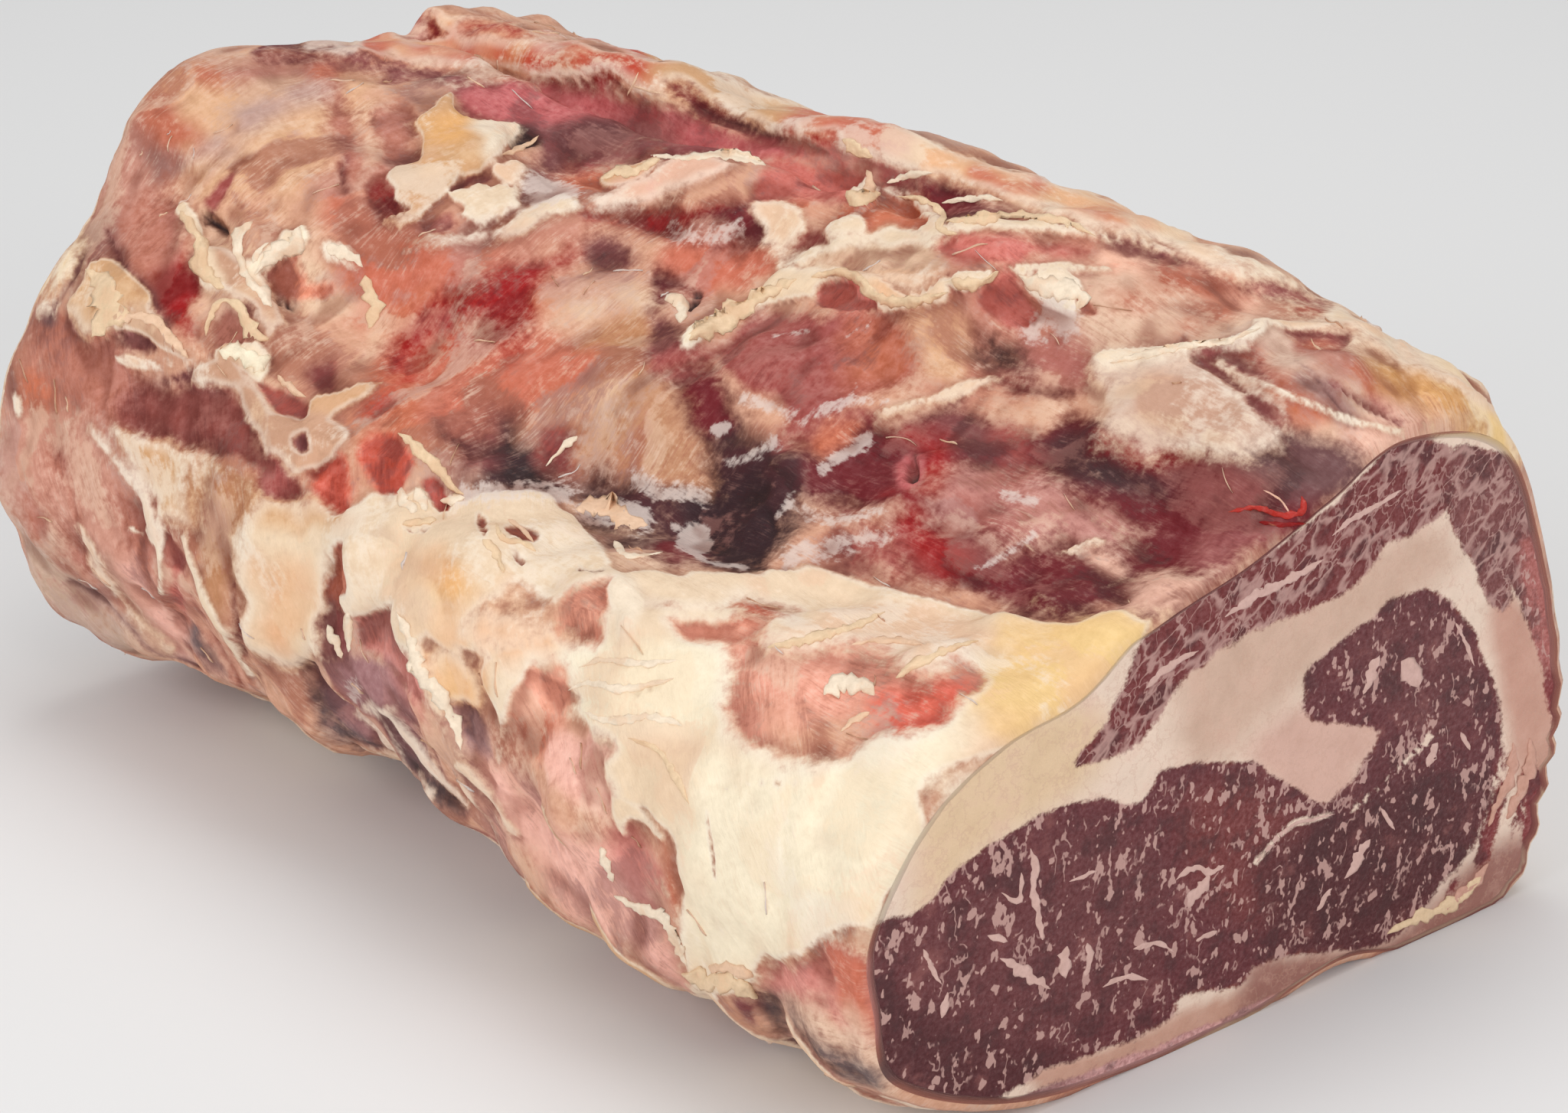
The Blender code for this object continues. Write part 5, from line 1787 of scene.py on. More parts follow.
# %% Flaps and scraps of the top
FLAKES += rows(
    """
knob by the muscle: flake cream, 1.2, 12 18 16 5: 1106,250 1118,262 1134,258 1150,252
lobe over the knob: cream pink, 0.9, 8 14 16: 1132,222 1136,236 1130,254
white streak of the top: white fat, 0.8, 3 9 9 5: 1157,240 1180,231 1196,227 1218,226
second white streak of the top: white fat, 0.8, 4 7 8 3: 1230,265 1262,261 1290,259 1310,262
root of the long flap: flake cream, 0.9, 20 30 24 14 8: 900,444 924,428 956,410 1000,384 1040,364
edge of the long flap: flake cream, 1.3, 8 8 14 12 14 12 6: 1060,362 1100,356 1126,366 1140,384
  1164,394 1200,393 1238,382
rim behind: flake cream, 0.9, 4 8 10 10 6: 1171,257 1203,261 1229,276 1228,298 1250,306
cream layer: flake cream, 0.8, 6 14 12 9 5: 1236,288 1283,286 1340,283 1395,291 1430,308
scrap by the lobe: flake cream, 1.2, 10 18 12 6: 1243,365 1261,372 1283,368 1304,354
white sheet: white fat, 1, 8 24 34 22 10: 1331,360 1360,372 1390,374 1412,388 1406,406
scrap by the oval: flake cream, 0.8, 6 14 12 8: 784,236 800,226 830,222 862,208
scraps over the oval: white fat, 0.5, 4 7 9 14 8: 850,203 890,206 940,202 976,206 1000,216
knob of the lip: flake cream, 1.4, 8 16 16 8: 1100,182 1112,190 1124,198 1140,206
white knob: white fat, 1.6, 8 15 18 12: 868,392 882,390 890,402 888,422
strand over the lip: cream pink, 0.7, 3 3 2: 834,94 828,108 819,125
second strand over the lip: cream pink, 0.6, 2 3 2: 826,112 848,119 866,122
strand across the pit: cream pink, 0.8, 4 7 6 3: 655,202 676,196 694,186 704,177
white streak by the fluff: white fat, 0.9, 5 10 8 7 4: 1450,474 1500,463 1546,452 1600,446 1646,428
"""
)

# %% Shreds of the front and of the side
FLAKES += rows(
    """
first tooth: white fat, 1.1, 6 12 12 5: 428,816 435,832 441,846 446,860
second tooth: white fat, 1, 9 10 4: 453,800 457,826 455,852
ridge of the lower left: white fat, 1, 8 16 20 18 16 8: 518,800 536,840 548,880 572,906 592,940
  602,980
white dab of the lower side: white fat, 1, 8 11 5: 785,1106 792,1130 801,1152
shreds of the lower side: white fat, 0.9, 5 12 16 14 6: 802,1170 834,1187 862,1196 882,1226 897,1262
tuft at the toe: flake cream, 1.3, 10 26 28 20 6: 890,1272 918,1280 946,1284 970,1290 990,1304
second tuft at the toe: cream pink, 1, 12 18 8: 926,1262 956,1266 984,1276
lobe in the front: white fat, 1.2, 12 30 28 10: 1076,908 1098,894 1122,896 1142,908
second lobe in the front: cream pink, 0.8, 4 9 5: 1098,956 1116,940 1136,930
bar over the front: flake cream, 0.9, 5 12 14 9 4: 1002,846 1048,837 1098,824 1134,810 1156,799
second bar over the front: flake cream, 0.8, 6 14 14 8 4: 1170,886 1194,870 1228,853 1256,842
  1278,837
third bar over the front: cream pink, 0.6, 3 7 8 4: 1112,842 1150,836 1184,838 1206,842
shred of the front: white fat, 0.7, 4 9 10 7 4: 742,902 770,892 806,900 842,896 880,886
second shred of the front: white fat, 0.7, 4 10 9 4: 756,872 792,862 838,868 884,862
third shred of the front: white fat, 0.7, 5 10 12 6: 762,930 800,942 844,936 892,948
fourth shred of the front: flake cream, 0.6, 3 7 8 4: 820,964 858,980 880,1010 900,1050
torn red fibre: wet red, 0.9, 3 6 8 10 6: 1604,669 1640,664 1674,673 1702,668 1700,648
second torn red fibre: deep wet red, 0.8, 3 6 4: 1644,682 1676,686 1706,684
pale fibre by the cut: oval pink, 0.5, 2 3 2: 1650,640 1672,652 1684,670
"""
)

# %% Build the flakes
FLAKE_SEED = 300
FLECK_SEED = 500


def build_flakes(name, table, seed):
    """One piece of the ribbons in a table: tone, thickness in mm, widths in pixels and path."""
    points, faces, colours = [], [], []
    for k, (_, tone_name, thick, widths, path) in enumerate(table):
        rings = ribbon(corners(path), [float(w) for w in widths.split()], thick, seed + k)
        faces += closed_strip(rings, len(points))
        flat = rings.reshape(-1, 3)
        points += flat.tolist()
        colours += [TONES[tone_name]] * len(flat)
    mesh = bpy.data.meshes.new(name)
    mesh.from_pydata(points, [], faces)
    smooth = [all(corner % len(ROUND) < len(ACROSS) for corner in face) for face in faces]
    mesh.polygons.foreach_set("use_smooth", smooth)
    store(mesh, "fat", np.array(colours))
    return put(name, mesh)


flakes = build_flakes("torn_flakes", FLAKES, FLAKE_SEED)
print("flakes:", len(FLAKES), "with", len(flakes.data.polygons), "faces")

# %% [markdown]
# ## Larger flecks of the marbling
# Most of the marbling is a pattern in the material. The larger streaks of fat that give this cut
# its face, and the folds at its right edge, are laid one by one as very thin ribbons, because a
# painted edge would blur over the mesh there.

# %% Flecks and folds of the cut
FLECKS = rows(
    """
seam of the eye: fleck, 0.12, 3 6 5 4 2: 1641,1127 1664,1100 1689,1077 1716,1070 1744,1063
streak at the left: fleck, 0.15, 3 9 8 12 9 6: 1346,1108 1352,1130 1350,1160 1356,1190 1362,1228
big fleck: fleck, 0.15, 5 16 18 6: 1306,1252 1326,1262 1346,1276 1372,1292
fleck below: fleck, 0.15, 3 8 5: 1308,1166 1330,1176 1334,1140
fleck at the middle: fleck, 0.15, 4 9 4: 1290,1222 1316,1230
fleck at the tip: fleck, 0.15, 3 8 7 3: 1206,1240 1216,1264 1230,1286
low fleck: fleck, 0.15, 4 9 4: 1238,1296 1230,1330
round fleck: fleck, 0.15, 5 13 14 5: 1394,1236 1390,1256 1392,1278
second round fleck: fleck, 0.15, 4 10 8 4: 1420,1232 1424,1256 1416,1276
fleck right of the streak: fleck, 0.12, 2 6 3: 1396,1152 1432,1138
bent fleck: fleck, 0.12, 4 8 10 5: 1536,1150 1560,1132 1580,1140 1600,1128
spot of the middle: fleck, 0.15, 6 15 14 5: 1552,1186 1560,1170 1572,1158 1580,1142
heart fleck: fleck, 0.15, 8 24 28 10: 1830,864 1840,872 1848,884 1852,898
fleck in the lobe: fleck, 0.15, 4 13 12 4: 1802,856 1794,874 1788,892 1780,908
fleck under the lobe: fleck, 0.15, 5 13 12 4: 1878,970 1870,986 1864,1002
fleck over the red line: fleck, 0.15, 4 14 12 5: 1790,1096 1776,1116 1768,1134 1756,1148
second fleck over the red line: fleck, 0.12, 3 7 4: 1740,1160 1720,1190
pale line of the lobe: fleck, 0.12, 3 6 5 2: 1900,812 1914,840 1926,870
fleck right of the middle: fleck, 0.15, 4 9 4: 1908,956 1920,980
second fleck right of the middle: fleck, 0.15, 4 8 4: 1804,1056 1822,1084
fleck of the foot: fleck, 0.15, 3 9 6 3: 1480,1240 1510,1232 1534,1244
second fleck of the foot: fleck, 0.15, 3 8 8 3: 1440,1290 1470,1276 1500,1280
third fleck of the foot: fleck, 0.12, 3 7 3: 1560,1230 1590,1216
fat in the band: fleck, 0.12, 4 10 13 9 3: 1600,806 1632,784 1664,766 1700,748 1730,730
second fat in the band: fleck, 0.12, 3 8 10 6 3: 1496,900 1516,880 1540,862 1566,850
third fat in the band: fleck, 0.12, 3 7 9 4: 1740,700 1770,676 1800,660 1830,640
fold of the outer fat: fold, 0.9, 6 14 16 12 6: 1998,964 2000,990 1992,1020 1980,1048 1968,1070
second fold of the outer fat: fold, 0.8, 5 12 14 10 5: 1976,970 1976,1000 1966,1030 1952,1056
  1944,1080
third fold of the outer fat: fold, 0.7, 5 12 12 6: 1944,1128 1930,1148 1908,1168 1886,1190
dry scrap of the foot: flake cream, 0.9, 6 16 18 12 6: 1936,1140 1916,1166 1890,1184 1850,1200
  1812,1220
"""
)
flecks = build_flakes("fat_flecks", FLECKS, FLECK_SEED)
print("flecks:", len(FLECKS), "with", len(flecks.data.polygons), "faces")

# %% [markdown]
# ## Loose threads
# Everywhere on the skin there are also threads of membrane a few millimetres long, thinner than
# half a millimetre. They follow the fibres, and are laid by chance over the whole body, behind too.

# %% Scatter the threads
THREADS = 150
THREAD_SEED = 77
THREAD_RINGS = 9
THREAD_LENGTHS = (3, 11)
THREAD_WIDTHS = (0.1, 0.24)
THREAD_TONES = ("cream pink", "dull cream", "film", "pink cream")
TURN_OF_KIND = (1.57, 0.0, 0.8)
ROW_SPACING = 1.24
COLUMN_SPACING = 1.8
ALONG_ROAST = np.array((1.0, 0.0, 0.0))


def on_skin(row, column):
    """Point of the shaped skin at a place between its grid points."""
    r, c = int(row), int(column)
    fr, fc = row - r, column - c
    count = body_grid.shape[1]
    next_r, next_c = min(r + 1, len(body_grid) - 1), (c + 1) % count
    low, high = body_grid[r], body_grid[next_r]
    c = c % count
    near = low[c] + fc * (low[next_c] - low[c])
    return near + fr * (high[c] + fc * (high[next_c] - high[c]) - near)


def thread_rings(draw):
    """Rings of one thread: it starts anywhere, follows the fibres and bends a little."""
    rows_high, columns = body_grid.shape[:2]
    row, column = draw.uniform(6, rows_high - 8), draw.uniform(0, columns)
    kind = int(np.argmax([share[int(row), int(column)] for share in grain_shares]))
    turn = TURN_OF_KIND[kind] + draw.gauss(0, 0.35)
    length, bend = draw.uniform(*THREAD_LENGTHS), draw.gauss(0, 0.05)
    width = draw.uniform(*THREAD_WIDTHS)
    rings = []
    for k in range(THREAD_RINGS):
        here = on_skin(min(max(row, 1), rows_high - 3), column % columns)
        normal = normals[int(min(max(row, 0), rows_high - 1)), int(column) % columns]
        heading = math.cos(turn) * ALONG_ROAST + math.sin(turn) * np.cross(ALONG_ROAST, normal)
        side = np.cross(heading, normal)
        side /= np.linalg.norm(side) + 1e-9
        half = width * math.sin(math.pi * (k + 0.4) / (THREAD_RINGS - 0.2)) * MM
        lift = (0.25 + 0.2 * math.sin(k)) * MM
        left, right = here + side * half - normal * half, here - side * half - normal * half
        rings.append([left, here + normal * (lift + half), right])
        row += math.cos(turn) * length / THREAD_RINGS / ROW_SPACING
        column += math.sin(turn) * length / THREAD_RINGS / COLUMN_SPACING
        turn += bend
    return np.array(rings)


def build_threads():
    draw = random.Random(THREAD_SEED)
    points, faces, colours = [], [], []
    for _ in range(THREADS):
        rings = thread_rings(draw)
        faces += closed_strip(rings, len(points))
        flat = rings.reshape(-1, 3)
        points += flat.tolist()
        colours += [TONES[draw.choice(THREAD_TONES)]] * len(flat)
    mesh = bpy.data.meshes.new("loose_threads")
    mesh.from_pydata(points, [], faces)
    mesh.polygons.foreach_set("use_smooth", [True] * len(faces))
    store(mesh, "fat", np.array(colours))
    return put("loose_threads", mesh)


threads = build_threads()
print("threads:", THREADS, "with", len(threads.data.polygons), "faces")

# %% [markdown]
# ## Materials
# One material is the skin and one the cut. They share four effects, kept as node groups: the
# ragged edge between two tissues, the streaks of the fibres, mottling, and the moist shine.


# %% Helpers for nodes
def node(tree, kind, values=(), **settings):
    made = tree.nodes.new("ShaderNode" + kind)
    for key, value in settings.items():
        setattr(made, key, value)
    for key, value in dict(values).items():
        if isinstance(value, bpy.types.NodeSocket):
            tree.links.new(value, made.inputs[key])
        else:
            made.inputs[key].default_value = value
    return made


def maths(tree, operation, first, second=0.0, third=0.0):
    return node(tree, "Math", {0: first, 1: second, 2: third}, operation=operation).outputs[0]


def blend(tree, share, first, second):
    return node(tree, "Mix", {0: share, 6: first, 7: second}, data_type="RGBA").outputs[2]


def times(tree, first, second):
    return maths(tree, "MULTIPLY", first, second)


def swing(tree, value, width):
    """A value about one half made into one about zero, as wide as told."""
    return times(tree, maths(tree, "SUBTRACT", value, 0.5), width)


def fold(tree, value):
    """How far a value is from one half: thin lines where it is near."""
    return maths(tree, "ABSOLUTE", maths(tree, "SUBTRACT", value, 0.5))


def darken(tree, share, colour, tint):
    values = {0: share, 6: colour, 7: tint}
    return node(tree, "Mix", values, data_type="RGBA", blend_type="MULTIPLY").outputs[2]


def split(tree, vector):
    return node(tree, "SeparateXYZ", {0: vector}).outputs


def join(tree, x, y, z):
    return node(tree, "CombineXYZ", {0: x, 1: y, 2: z}).outputs[0]


def turned(tree, vector, angle):
    values = {"Vector": vector, "Angle": angle}
    return node(tree, "VectorRotate", values, rotation_type="Z_AXIS").outputs[0]


def choose(tree, share, first, second):
    values = {0: share, 4: first, 5: second}
    return node(tree, "Mix", values, data_type="VECTOR").outputs[1]


def ramp(tree, value, low, high, start=0.0, end=1.0):
    values = {0: value, 1: low, 2: high, 3: start, 4: end}
    return node(tree, "MapRange", values, interpolation_type="SMOOTHSTEP").outputs[0]


def grains(tree, vector, scale, detail=2.0, rough=0.5):
    values = {"Vector": vector, "Scale": scale, "Detail": detail, "Roughness": rough}
    return node(tree, "TexNoise", values).outputs[0]


def stored(tree, name, output="Fac"):
    return node(tree, "Attribute", attribute_name=name, attribute_type="GEOMETRY").outputs[output]


def new_group(name, inputs, outputs):
    tree = bpy.data.node_groups.new(name, "ShaderNodeTree")
    for label, kind, value in inputs:
        socket = tree.interface.new_socket(label, in_out="INPUT", socket_type="NodeSocket" + kind)
        socket.default_value = value
    for label, kind in outputs:
        tree.interface.new_socket(label, in_out="OUTPUT", socket_type="NodeSocket" + kind)
    entry = tree.nodes.new("NodeGroupInput").outputs
    leave = tree.nodes.new("NodeGroupOutput").inputs
    return tree, entry, leave


def use(tree, group, values):
    return node(tree, "Group", values, node_tree=group).outputs


# %% Ragged edge
def build_ragged_edge():
    """Mask of a tissue that covers another, from its stored cover, frayed at the edge."""
    inputs = [
        ("Cover", "Float", 0.0),
        ("Chance", "Float", 0.5),
        ("Fray", "Float", 0.8),
        ("Streak", "Float", 0.5),
        ("Along Fibres", "Float", 0.5),
        ("Softness", "Float", 0.5),
    ]
    tree, entry, leave = new_group("ragged edge", inputs, [("Mask", "Float")])
    push = swing(tree, entry["Chance"], entry["Fray"])
    pull = swing(tree, entry["Streak"], entry["Along Fibres"])
    total = maths(tree, "ADD", maths(tree, "ADD", entry["Cover"], push), pull)
    below = times(tree, entry["Softness"], -1.0)
    tree.links.new(ramp(tree, total, below, entry["Softness"]), leave["Mask"])
    return tree


# %% Fibres
def build_fibres():
    """Fine streaks of the skin's sheet, drawn out along whichever direction weighs most."""
    inputs = [
        ("Sheet", "Vector", (0, 0, 0)),
        ("Weights", "Vector", (0, 1, 0)),
        ("Size", "Float", 1.0),
        ("Stretch", "Float", 7.0),
    ]
    tree, entry, leave = new_group("fibres", inputs, [("Streak", "Float")])
    parts = split(tree, entry["Sheet"])
    weights = split(tree, entry["Weights"])
    slant = split(tree, turned(tree, entry["Sheet"], SLANT))
    most = maths(tree, "MAXIMUM", weights[1], weights[2])
    is_round = maths(tree, "GREATER_THAN", weights[0], most)
    is_slant = maths(tree, "GREATER_THAN", weights[2], weights[1])
    along = join(tree, parts[1], parts[0], 0.0)
    round_it = join(tree, parts[0], parts[1], 40.0)
    down_it = join(tree, slant[1], slant[0], 80.0)
    spot = choose(tree, is_round, choose(tree, is_slant, along, down_it), round_it)
    slow = maths(tree, "DIVIDE", 1.0, entry["Stretch"])
    squeeze = join(tree, 1.0, slow, 1.0)
    spot = node(tree, "VectorMath", {0: spot, 1: squeeze}, operation="MULTIPLY").outputs[0]
    scale = maths(tree, "DIVIDE", 1.0, entry["Size"])
    tree.links.new(grains(tree, spot, scale, 3.0, 0.65), leave["Streak"])
    return tree


# %% Mottling and moist shine
def build_mottle():
    """A tone broken up by chance into darker, fuller spots and paler ones."""
    inputs = [
        ("Color", "Color", (0.5, 0.3, 0.25, 1)),
        ("Chance", "Float", 0.5),
        ("Depth", "Float", 0.2),
    ]
    tree, entry, leave = new_group("mottle", inputs, [("Color", "Color")])
    shift = swing(tree, entry["Chance"], entry["Depth"])
    value = maths(tree, "MULTIPLY_ADD", shift, 2.0, 1.0)
    fuller = maths(tree, "MULTIPLY_ADD", shift, -0.8, 1.0)
    values = {"Saturation": fuller, "Value": value, "Color": entry["Color"]}
    changed = node(tree, "HueSaturation", values)
    tree.links.new(changed.outputs[0], leave["Color"])
    return tree


def build_moist():
    """Roughness and shine of wet meat: mostly satin, with small wet spots."""
    inputs = [
        ("Chance", "Float", 0.5),
        ("Dry Roughness", "Float", 0.55),
        ("Wet", "Float", 0.3),
    ]
    tree, entry, leave = new_group("moist shine", inputs, [("Roughness", "Float")])
    spots = ramp(tree, entry["Chance"], 0.5, 0.7)
    wet = times(tree, spots, entry["Wet"])
    tree.links.new(maths(tree, "SUBTRACT", entry["Dry Roughness"], wet), leave["Roughness"])
    return tree


ragged_edge = build_ragged_edge()
fibres = build_fibres()
mottle = build_mottle()
moist = build_moist()
print("groups:", [group.name for group in bpy.data.node_groups])

# %% Tints that break up the stored tones, with painted shade and a painted highlight among them, in linear light
TINTS = {
    "dark wash of the lean": (0.38, 0.28, 0.30, 1),
    "pale wash of the lean": (0.52, 0.22, 0.18, 1),
    "flesh": (0.47, 0.16, 0.09, 1),
    "pale membrane": (0.80, 0.56, 0.40, 1),
    "cool membrane": (0.42, 0.28, 0.26, 1),
    "rosy fat": (0.76, 0.45, 0.29, 1),
    "white fat": (0.88, 0.77, 0.64, 1),
    "amber fat": (0.84, 0.62, 0.40, 1),
    "pale line on lean": (0.56, 0.26, 0.21, 1),
    "dark line on lean": (0.10, 0.012, 0.014, 1),
    "pale line on membrane": (0.81, 0.61, 0.47, 1),
    "dark line on membrane": (0.40, 0.13, 0.085, 1),
    "dark line on fat": (0.68, 0.42, 0.26, 1),
    "shade under fat": (0.45, 0.28, 0.24, 1),
    # Painted highlight: the torn edge of the fat, paler where it catches the light.
    "rim of the fat": (0.90, 0.80, 0.68, 1),
    "film": (0.74, 0.62, 0.56, 1),
    # Painted shade, laid into the hollows and creases of the relief.
    "hollow": (0.42, 0.24, 0.20, 1),
    "deep lean": (0.06, 0.018, 0.02, 1),
    "bright lean": (0.31, 0.11, 0.10, 1),
    "marbling": (0.57, 0.34, 0.30, 1),
    "pink fat": (0.66, 0.40, 0.31, 1),
    "vein of the fat": (0.60, 0.36, 0.27, 1),
    "warm flake": (0.72, 0.43, 0.25, 1),
}
SHINE = 0.25
BUMP_DEPTH = 0.4 * MM


# %% What the materials share
def start_material(name):
    material = bpy.data.materials.new(name)
    material.use_nodes = True
    tree = material.node_tree
    shader = tree.nodes["Principled BSDF"]
    shader.inputs["Specular IOR Level"].default_value = SHINE
    place = node(tree, "TexCoord").outputs["Object"]
    in_mm = node(tree, "VectorMath", {0: place, "Scale": 1000.0}, operation="SCALE").outputs[0]
    return material, tree, shader, in_mm


def finish_surface(tree, shader, colour, chance, dry, wet, grain, strength):
    """Lead the colour, the moist roughness and a fine bump into the shader."""
    tree.links.new(colour, shader.inputs["Base Color"])
    shine = use(tree, moist, {"Chance": chance, "Dry Roughness": dry, "Wet": wet})
    tree.links.new(shine["Roughness"], shader.inputs["Roughness"])
    bump = node(tree, "Bump", {"Height": grain, "Distance": BUMP_DEPTH, "Strength": strength})
    tree.links.new(bump.outputs[0], shader.inputs["Normal"])


def mottled(tree, name, chance, depth):
    values = {"Color": stored(tree, name, "Color"), "Chance": chance, "Depth": depth}
    return use(tree, mottle, values)[0]


# %% Colours of the three tissues
def cloudy(tree, cloud, streak, chance, low, high, most):
    """Share of a second tone, from a stored cloud broken up by streaks and chance."""
    fine = swing(tree, streak, 1.2)
    finer = swing(tree, chance, 1.6)
    total = maths(tree, "ADD", maths(tree, "ADD", cloud, fine), finer)
    return ramp(tree, total, low, high, 0.0, most)


def lean_colour(tree, red, pale, chance, streak):
    colour = mottled(tree, "lean", chance, 0.4)
    dark = darken(tree, 1.0, colour, TINTS["dark wash of the lean"])
    colour = blend(tree, cloudy(tree, red, streak, chance, 0.05, 0.7, 0.7), colour, dark)
    share = cloudy(tree, pale, streak, chance, 0.25, 0.9, 0.25)
    return blend(tree, share, colour, TINTS["pale wash of the lean"])


def skin_colour(tree, red, pale, cool, chance, streak, lean):
    colour = mottled(tree, "skin", chance, 0.25)
    flesh = blend(tree, 0.5, lean, TINTS["flesh"])
    colour = blend(tree, cloudy(tree, red, streak, chance, 0.0, 0.7, 0.75), colour, flesh)
    share = cloudy(tree, pale, streak, chance, 0.2, 0.8, 0.4)
    colour = blend(tree, share, colour, TINTS["pale membrane"])
    share = cloudy(tree, cool, streak, chance, 0.35, 0.9, 0.3)
    return blend(tree, share, colour, TINTS["cool membrane"])


def fat_colour(tree, red, pale, cool, chance, streak):
    colour = mottled(tree, "fat", chance, 0.14)
    share = cloudy(tree, red, streak, chance, 0.3, 0.9, 0.35)
    colour = blend(tree, share, colour, TINTS["rosy fat"])
    share = cloudy(tree, cool, streak, chance, 0.2, 0.8, 0.5)
    colour = blend(tree, share, colour, TINTS["white fat"])
    share = cloudy(tree, pale, streak, chance, 0.3, 0.9, 0.3)
    return blend(tree, share, colour, TINTS["amber fat"])


# %% Material of the skin
def frayed(tree, cover, fray, along, softness, edge):
    """Mask of a tissue on the skin, its edge frayed so far by chance and along the fibres."""
    values = {"Cover": cover, "Fray": fray, "Along Fibres": along, "Softness": softness}
    return use(tree, ragged_edge, {**values, **edge})[0]


def skin_material():
    material, tree, shader, place = start_material("torn fat and membrane")
    sheet_place = stored(tree, "sheet", "Vector")
    weights = stored(tree, "grain", "Vector")
    fibre = {"Sheet": sheet_place, "Weights": weights}
    streak = use(tree, fibres, {**fibre, "Size": 1.0, "Stretch": 5.0})[0]
    chance = grains(tree, place, 0.45, 5.0, 0.6)
    red, pale, cool = split(tree, stored(tree, "clouds", "Vector"))
    fat_over = stored(tree, "fat_over")
    edge = {"Chance": chance, "Streak": streak}
    skin_mask = frayed(tree, stored(tree, "skin_over"), 2.4, 0.3, 1.2, edge)
    fat_mask = frayed(tree, fat_over, 2.0, 0.12, 0.75, edge)
    film_mask = frayed(tree, stored(tree, "film"), 5.0, 3.0, 0.8, edge)
    line = use(tree, fibres, {**fibre, "Size": 0.55, "Stretch": 13.0})[0]
    line = maths(tree, "ADD", swing(tree, chance, 0.6), line)
    here = ramp(tree, grains(tree, place, 0.07, 3.0, 0.6), 0.44, 0.6, 0.05, 0.35)
    pale_line = times(tree, ramp(tree, line, 0.5, 0.7), here)
    dark_line = times(tree, ramp(tree, line, 0.5, 0.32), here)
    lean = lean_colour(tree, red, pale, chance, streak)
    lean = blend(tree, times(tree, pale_line, 0.55), lean, TINTS["pale line on lean"])
    lean = blend(tree, times(tree, dark_line, 0.7), lean, TINTS["dark line on lean"])
    skin = skin_colour(tree, red, pale, cool, chance, streak, lean)
    skin = blend(tree, pale_line, skin, TINTS["pale line on membrane"])
    skin = blend(tree, dark_line, skin, TINTS["dark line on membrane"])
    fat = fat_colour(tree, red, pale, cool, chance, streak)
    fat = blend(tree, times(tree, dark_line, 0.4), fat, TINTS["dark line on fat"])
    meat = blend(tree, skin_mask, lean, skin)
    under = ramp(tree, fat_over, -1.8, -0.3, 0.0, 0.3)
    shaded = darken(tree, under, meat, TINTS["shade under fat"])
    # Painted highlight: a thin paler band just inside the torn edge of the fat, where it catches
    # the light.
    rim = times(tree, ramp(tree, fat_over, -0.2, 0.3), ramp(tree, fat_over, 1.4, 0.4, 0.0, 0.35))
    fat = blend(tree, rim, fat, TINTS["rim of the fat"])
    meat = blend(tree, fat_mask, shaded, fat)
    meat = blend(tree, times(tree, film_mask, 0.65), meat, TINTS["film"])
    # Painted shade: the hollows and creases of the relief are darkened, less so on fat.
    hollow = ramp(tree, stored(tree, "hollow"), 0.05, 0.9, 0.0, 0.7)
    hollow = times(tree, hollow, maths(tree, "MULTIPLY_ADD", fat_mask, -0.6, 1.0))
    meat = darken(tree, hollow, meat, TINTS["hollow"])
    grain = maths(tree, "ADD", chance, streak)
    finish_surface(tree, shader, meat, chance, 0.55, 0.25, grain, 0.6)
    return material


# %% Marbling
NET_SLANT = math.radians(-38)
NET_BEND = (4.5, 4.5, 4.5)


def marbling_mask(tree, sheet_place, amount):
    """Flecks of fat in the eye, a net of it in the band and the cap."""
    parts = split(tree, sheet_place)
    tall = join(tree, parts[0], times(tree, parts[1], 0.6), 7.0)
    thread = fold(tree, grains(tree, tall, 0.17, 3.0, 0.6))
    gate = grains(tree, sheet_place, 0.11, 3.0, 0.7)
    open_gate = ramp(tree, gate, 0.52, 0.58, 0.0, 0.8)
    threads = times(tree, ramp(tree, thread, 0.024, 0.01), open_gate)
    specks = ramp(tree, grains(tree, tall, 0.36, 2.5, 0.55), 0.6, 0.635)
    blobs = ramp(tree, grains(tree, sheet_place, 0.2, 2.5, 0.6), 0.645, 0.675)
    flecks = maths(tree, "MAXIMUM", maths(tree, "MAXIMUM", threads, specks), blobs)
    slant = split(tree, turned(tree, sheet_place, NET_SLANT))
    drawn = join(tree, times(tree, slant[0], 0.5), slant[1], 3.0)
    bent = node(tree, "TexNoise", {"Vector": drawn, "Scale": 0.3, "Detail": 3.0}).outputs[1]
    values = {0: bent, 1: NET_BEND, 2: drawn}
    drawn = node(tree, "VectorMath", values, operation="MULTIPLY_ADD").outputs[0]
    values = {"Vector": drawn, "Scale": 0.24}
    cells = node(tree, "TexVoronoi", values, feature="DISTANCE_TO_EDGE").outputs[0]
    width = ramp(tree, gate, 0.42, 0.6, 0.03, 0.26)
    net = ramp(tree, cells, width, 0.0, 0.0, 0.85)
    net = maths(tree, "MAXIMUM", net, times(tree, ramp(tree, thread, 0.02, 0.008), 0.5))
    coarse = ramp(tree, amount, 0.55, 0.7)
    marble = node(tree, "Mix", {0: coarse, 2: flecks, 3: net}, data_type="FLOAT").outputs[0]
    return times(tree, marble, ramp(tree, amount, 0.05, 0.35, 0.0, 0.85))


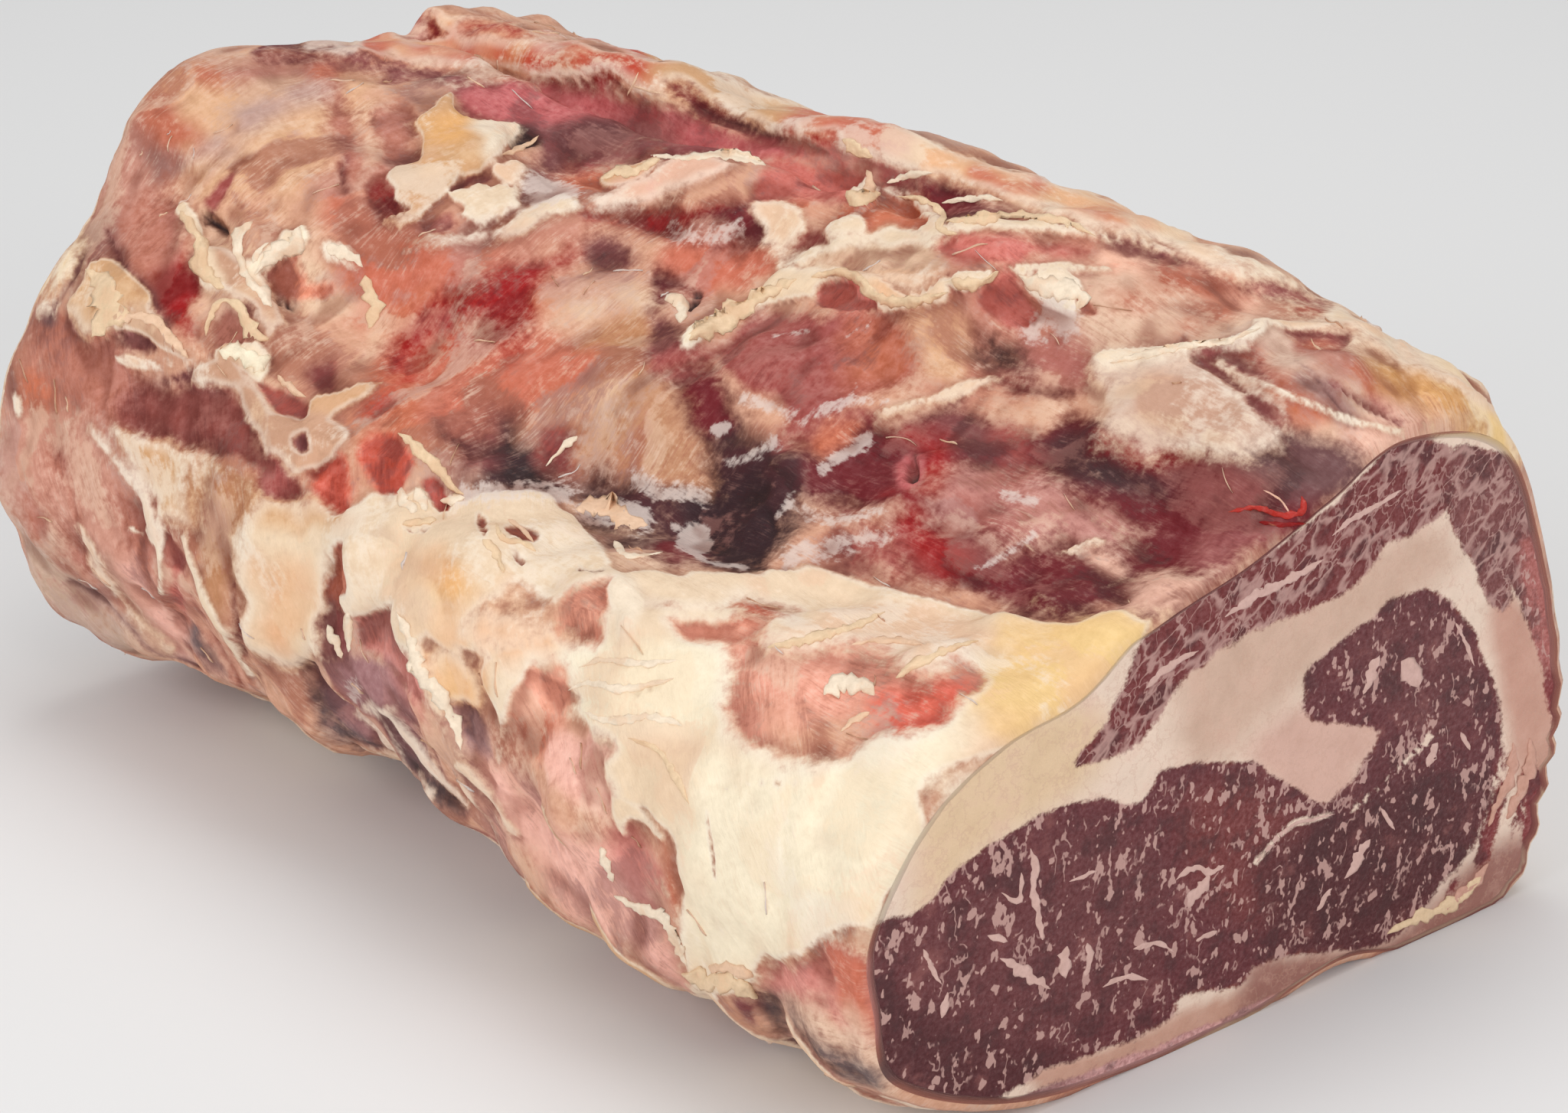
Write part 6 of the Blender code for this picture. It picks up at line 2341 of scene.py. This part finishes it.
# %% Material of the cut
def cut_material():
    material, tree, shader, place = start_material("marbled cut")
    sheet_place = stored(tree, "sheet", "Vector")
    marble = marbling_mask(tree, sheet_place, stored(tree, "marbling"))
    fine = grains(tree, sheet_place, 0.9, 4.0, 0.65)
    broad = grains(tree, sheet_place, 0.1, 5.0, 0.65)
    edge = {"Chance": fine, "Streak": broad}
    fat_mask = frayed(tree, stored(tree, "fat_over"), 3.0, 4.0, 0.7, edge)
    lean = mottled(tree, "lean", fine, 0.8)
    deep = ramp(tree, broad, 0.52, 0.36, 0.0, 0.6)
    lean = blend(tree, deep, lean, TINTS["deep lean"])
    bright = ramp(tree, broad, 0.55, 0.68, 0.0, 0.45)
    lean = blend(tree, bright, lean, TINTS["bright lean"])
    lean = blend(tree, marble, lean, TINTS["marbling"])
    fat = mottled(tree, "fat", broad, 0.2)
    pink = ramp(tree, broad, 0.5, 0.7, 0.0, 0.35)
    fat = blend(tree, pink, fat, TINTS["pink fat"])
    vein = fold(tree, grains(tree, sheet_place, 0.16, 5.0, 0.62))
    fat = blend(tree, ramp(tree, vein, 0.03, 0.0, 0.0, 0.3), fat, TINTS["vein of the fat"])
    meat = blend(tree, fat_mask, lean, fat)
    finish_surface(tree, shader, meat, fine, 0.5, 0.25, fine, 0.7)
    return material


# %% Material of the flakes, flecks and threads
def flake_material(name, warmth):
    material, tree, shader, place = start_material(name)
    chance = grains(tree, place, 0.6, 4.0, 0.6)
    fat = mottled(tree, "fat", chance, 0.25)
    warm = ramp(tree, grains(tree, place, 0.15, 3.0, 0.6), 0.5, 0.62, 0.0, warmth)
    fat = blend(tree, warm, fat, TINTS["warm flake"])
    finish_surface(tree, shader, fat, chance, 0.5, 0.2, chance, 0.6)
    return material


body.data.materials.append(skin_material())
body.data.materials.append(cut_material())
white_fat = flake_material("torn white fat", 0.4)
flakes.data.materials.append(white_fat)
threads.data.materials.append(white_fat)
flecks.data.materials.append(flake_material("flecks of the cut", 0.05))
print("materials:", [m.name for m in bpy.data.materials])

# %% [markdown]
# ## Hand over
# The body rides on the solid roast and stands for it.

# %% Ride, replace and finish
for piece in (body, flakes, flecks, threads):
    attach(piece, "root")
    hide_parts("rib_roast")
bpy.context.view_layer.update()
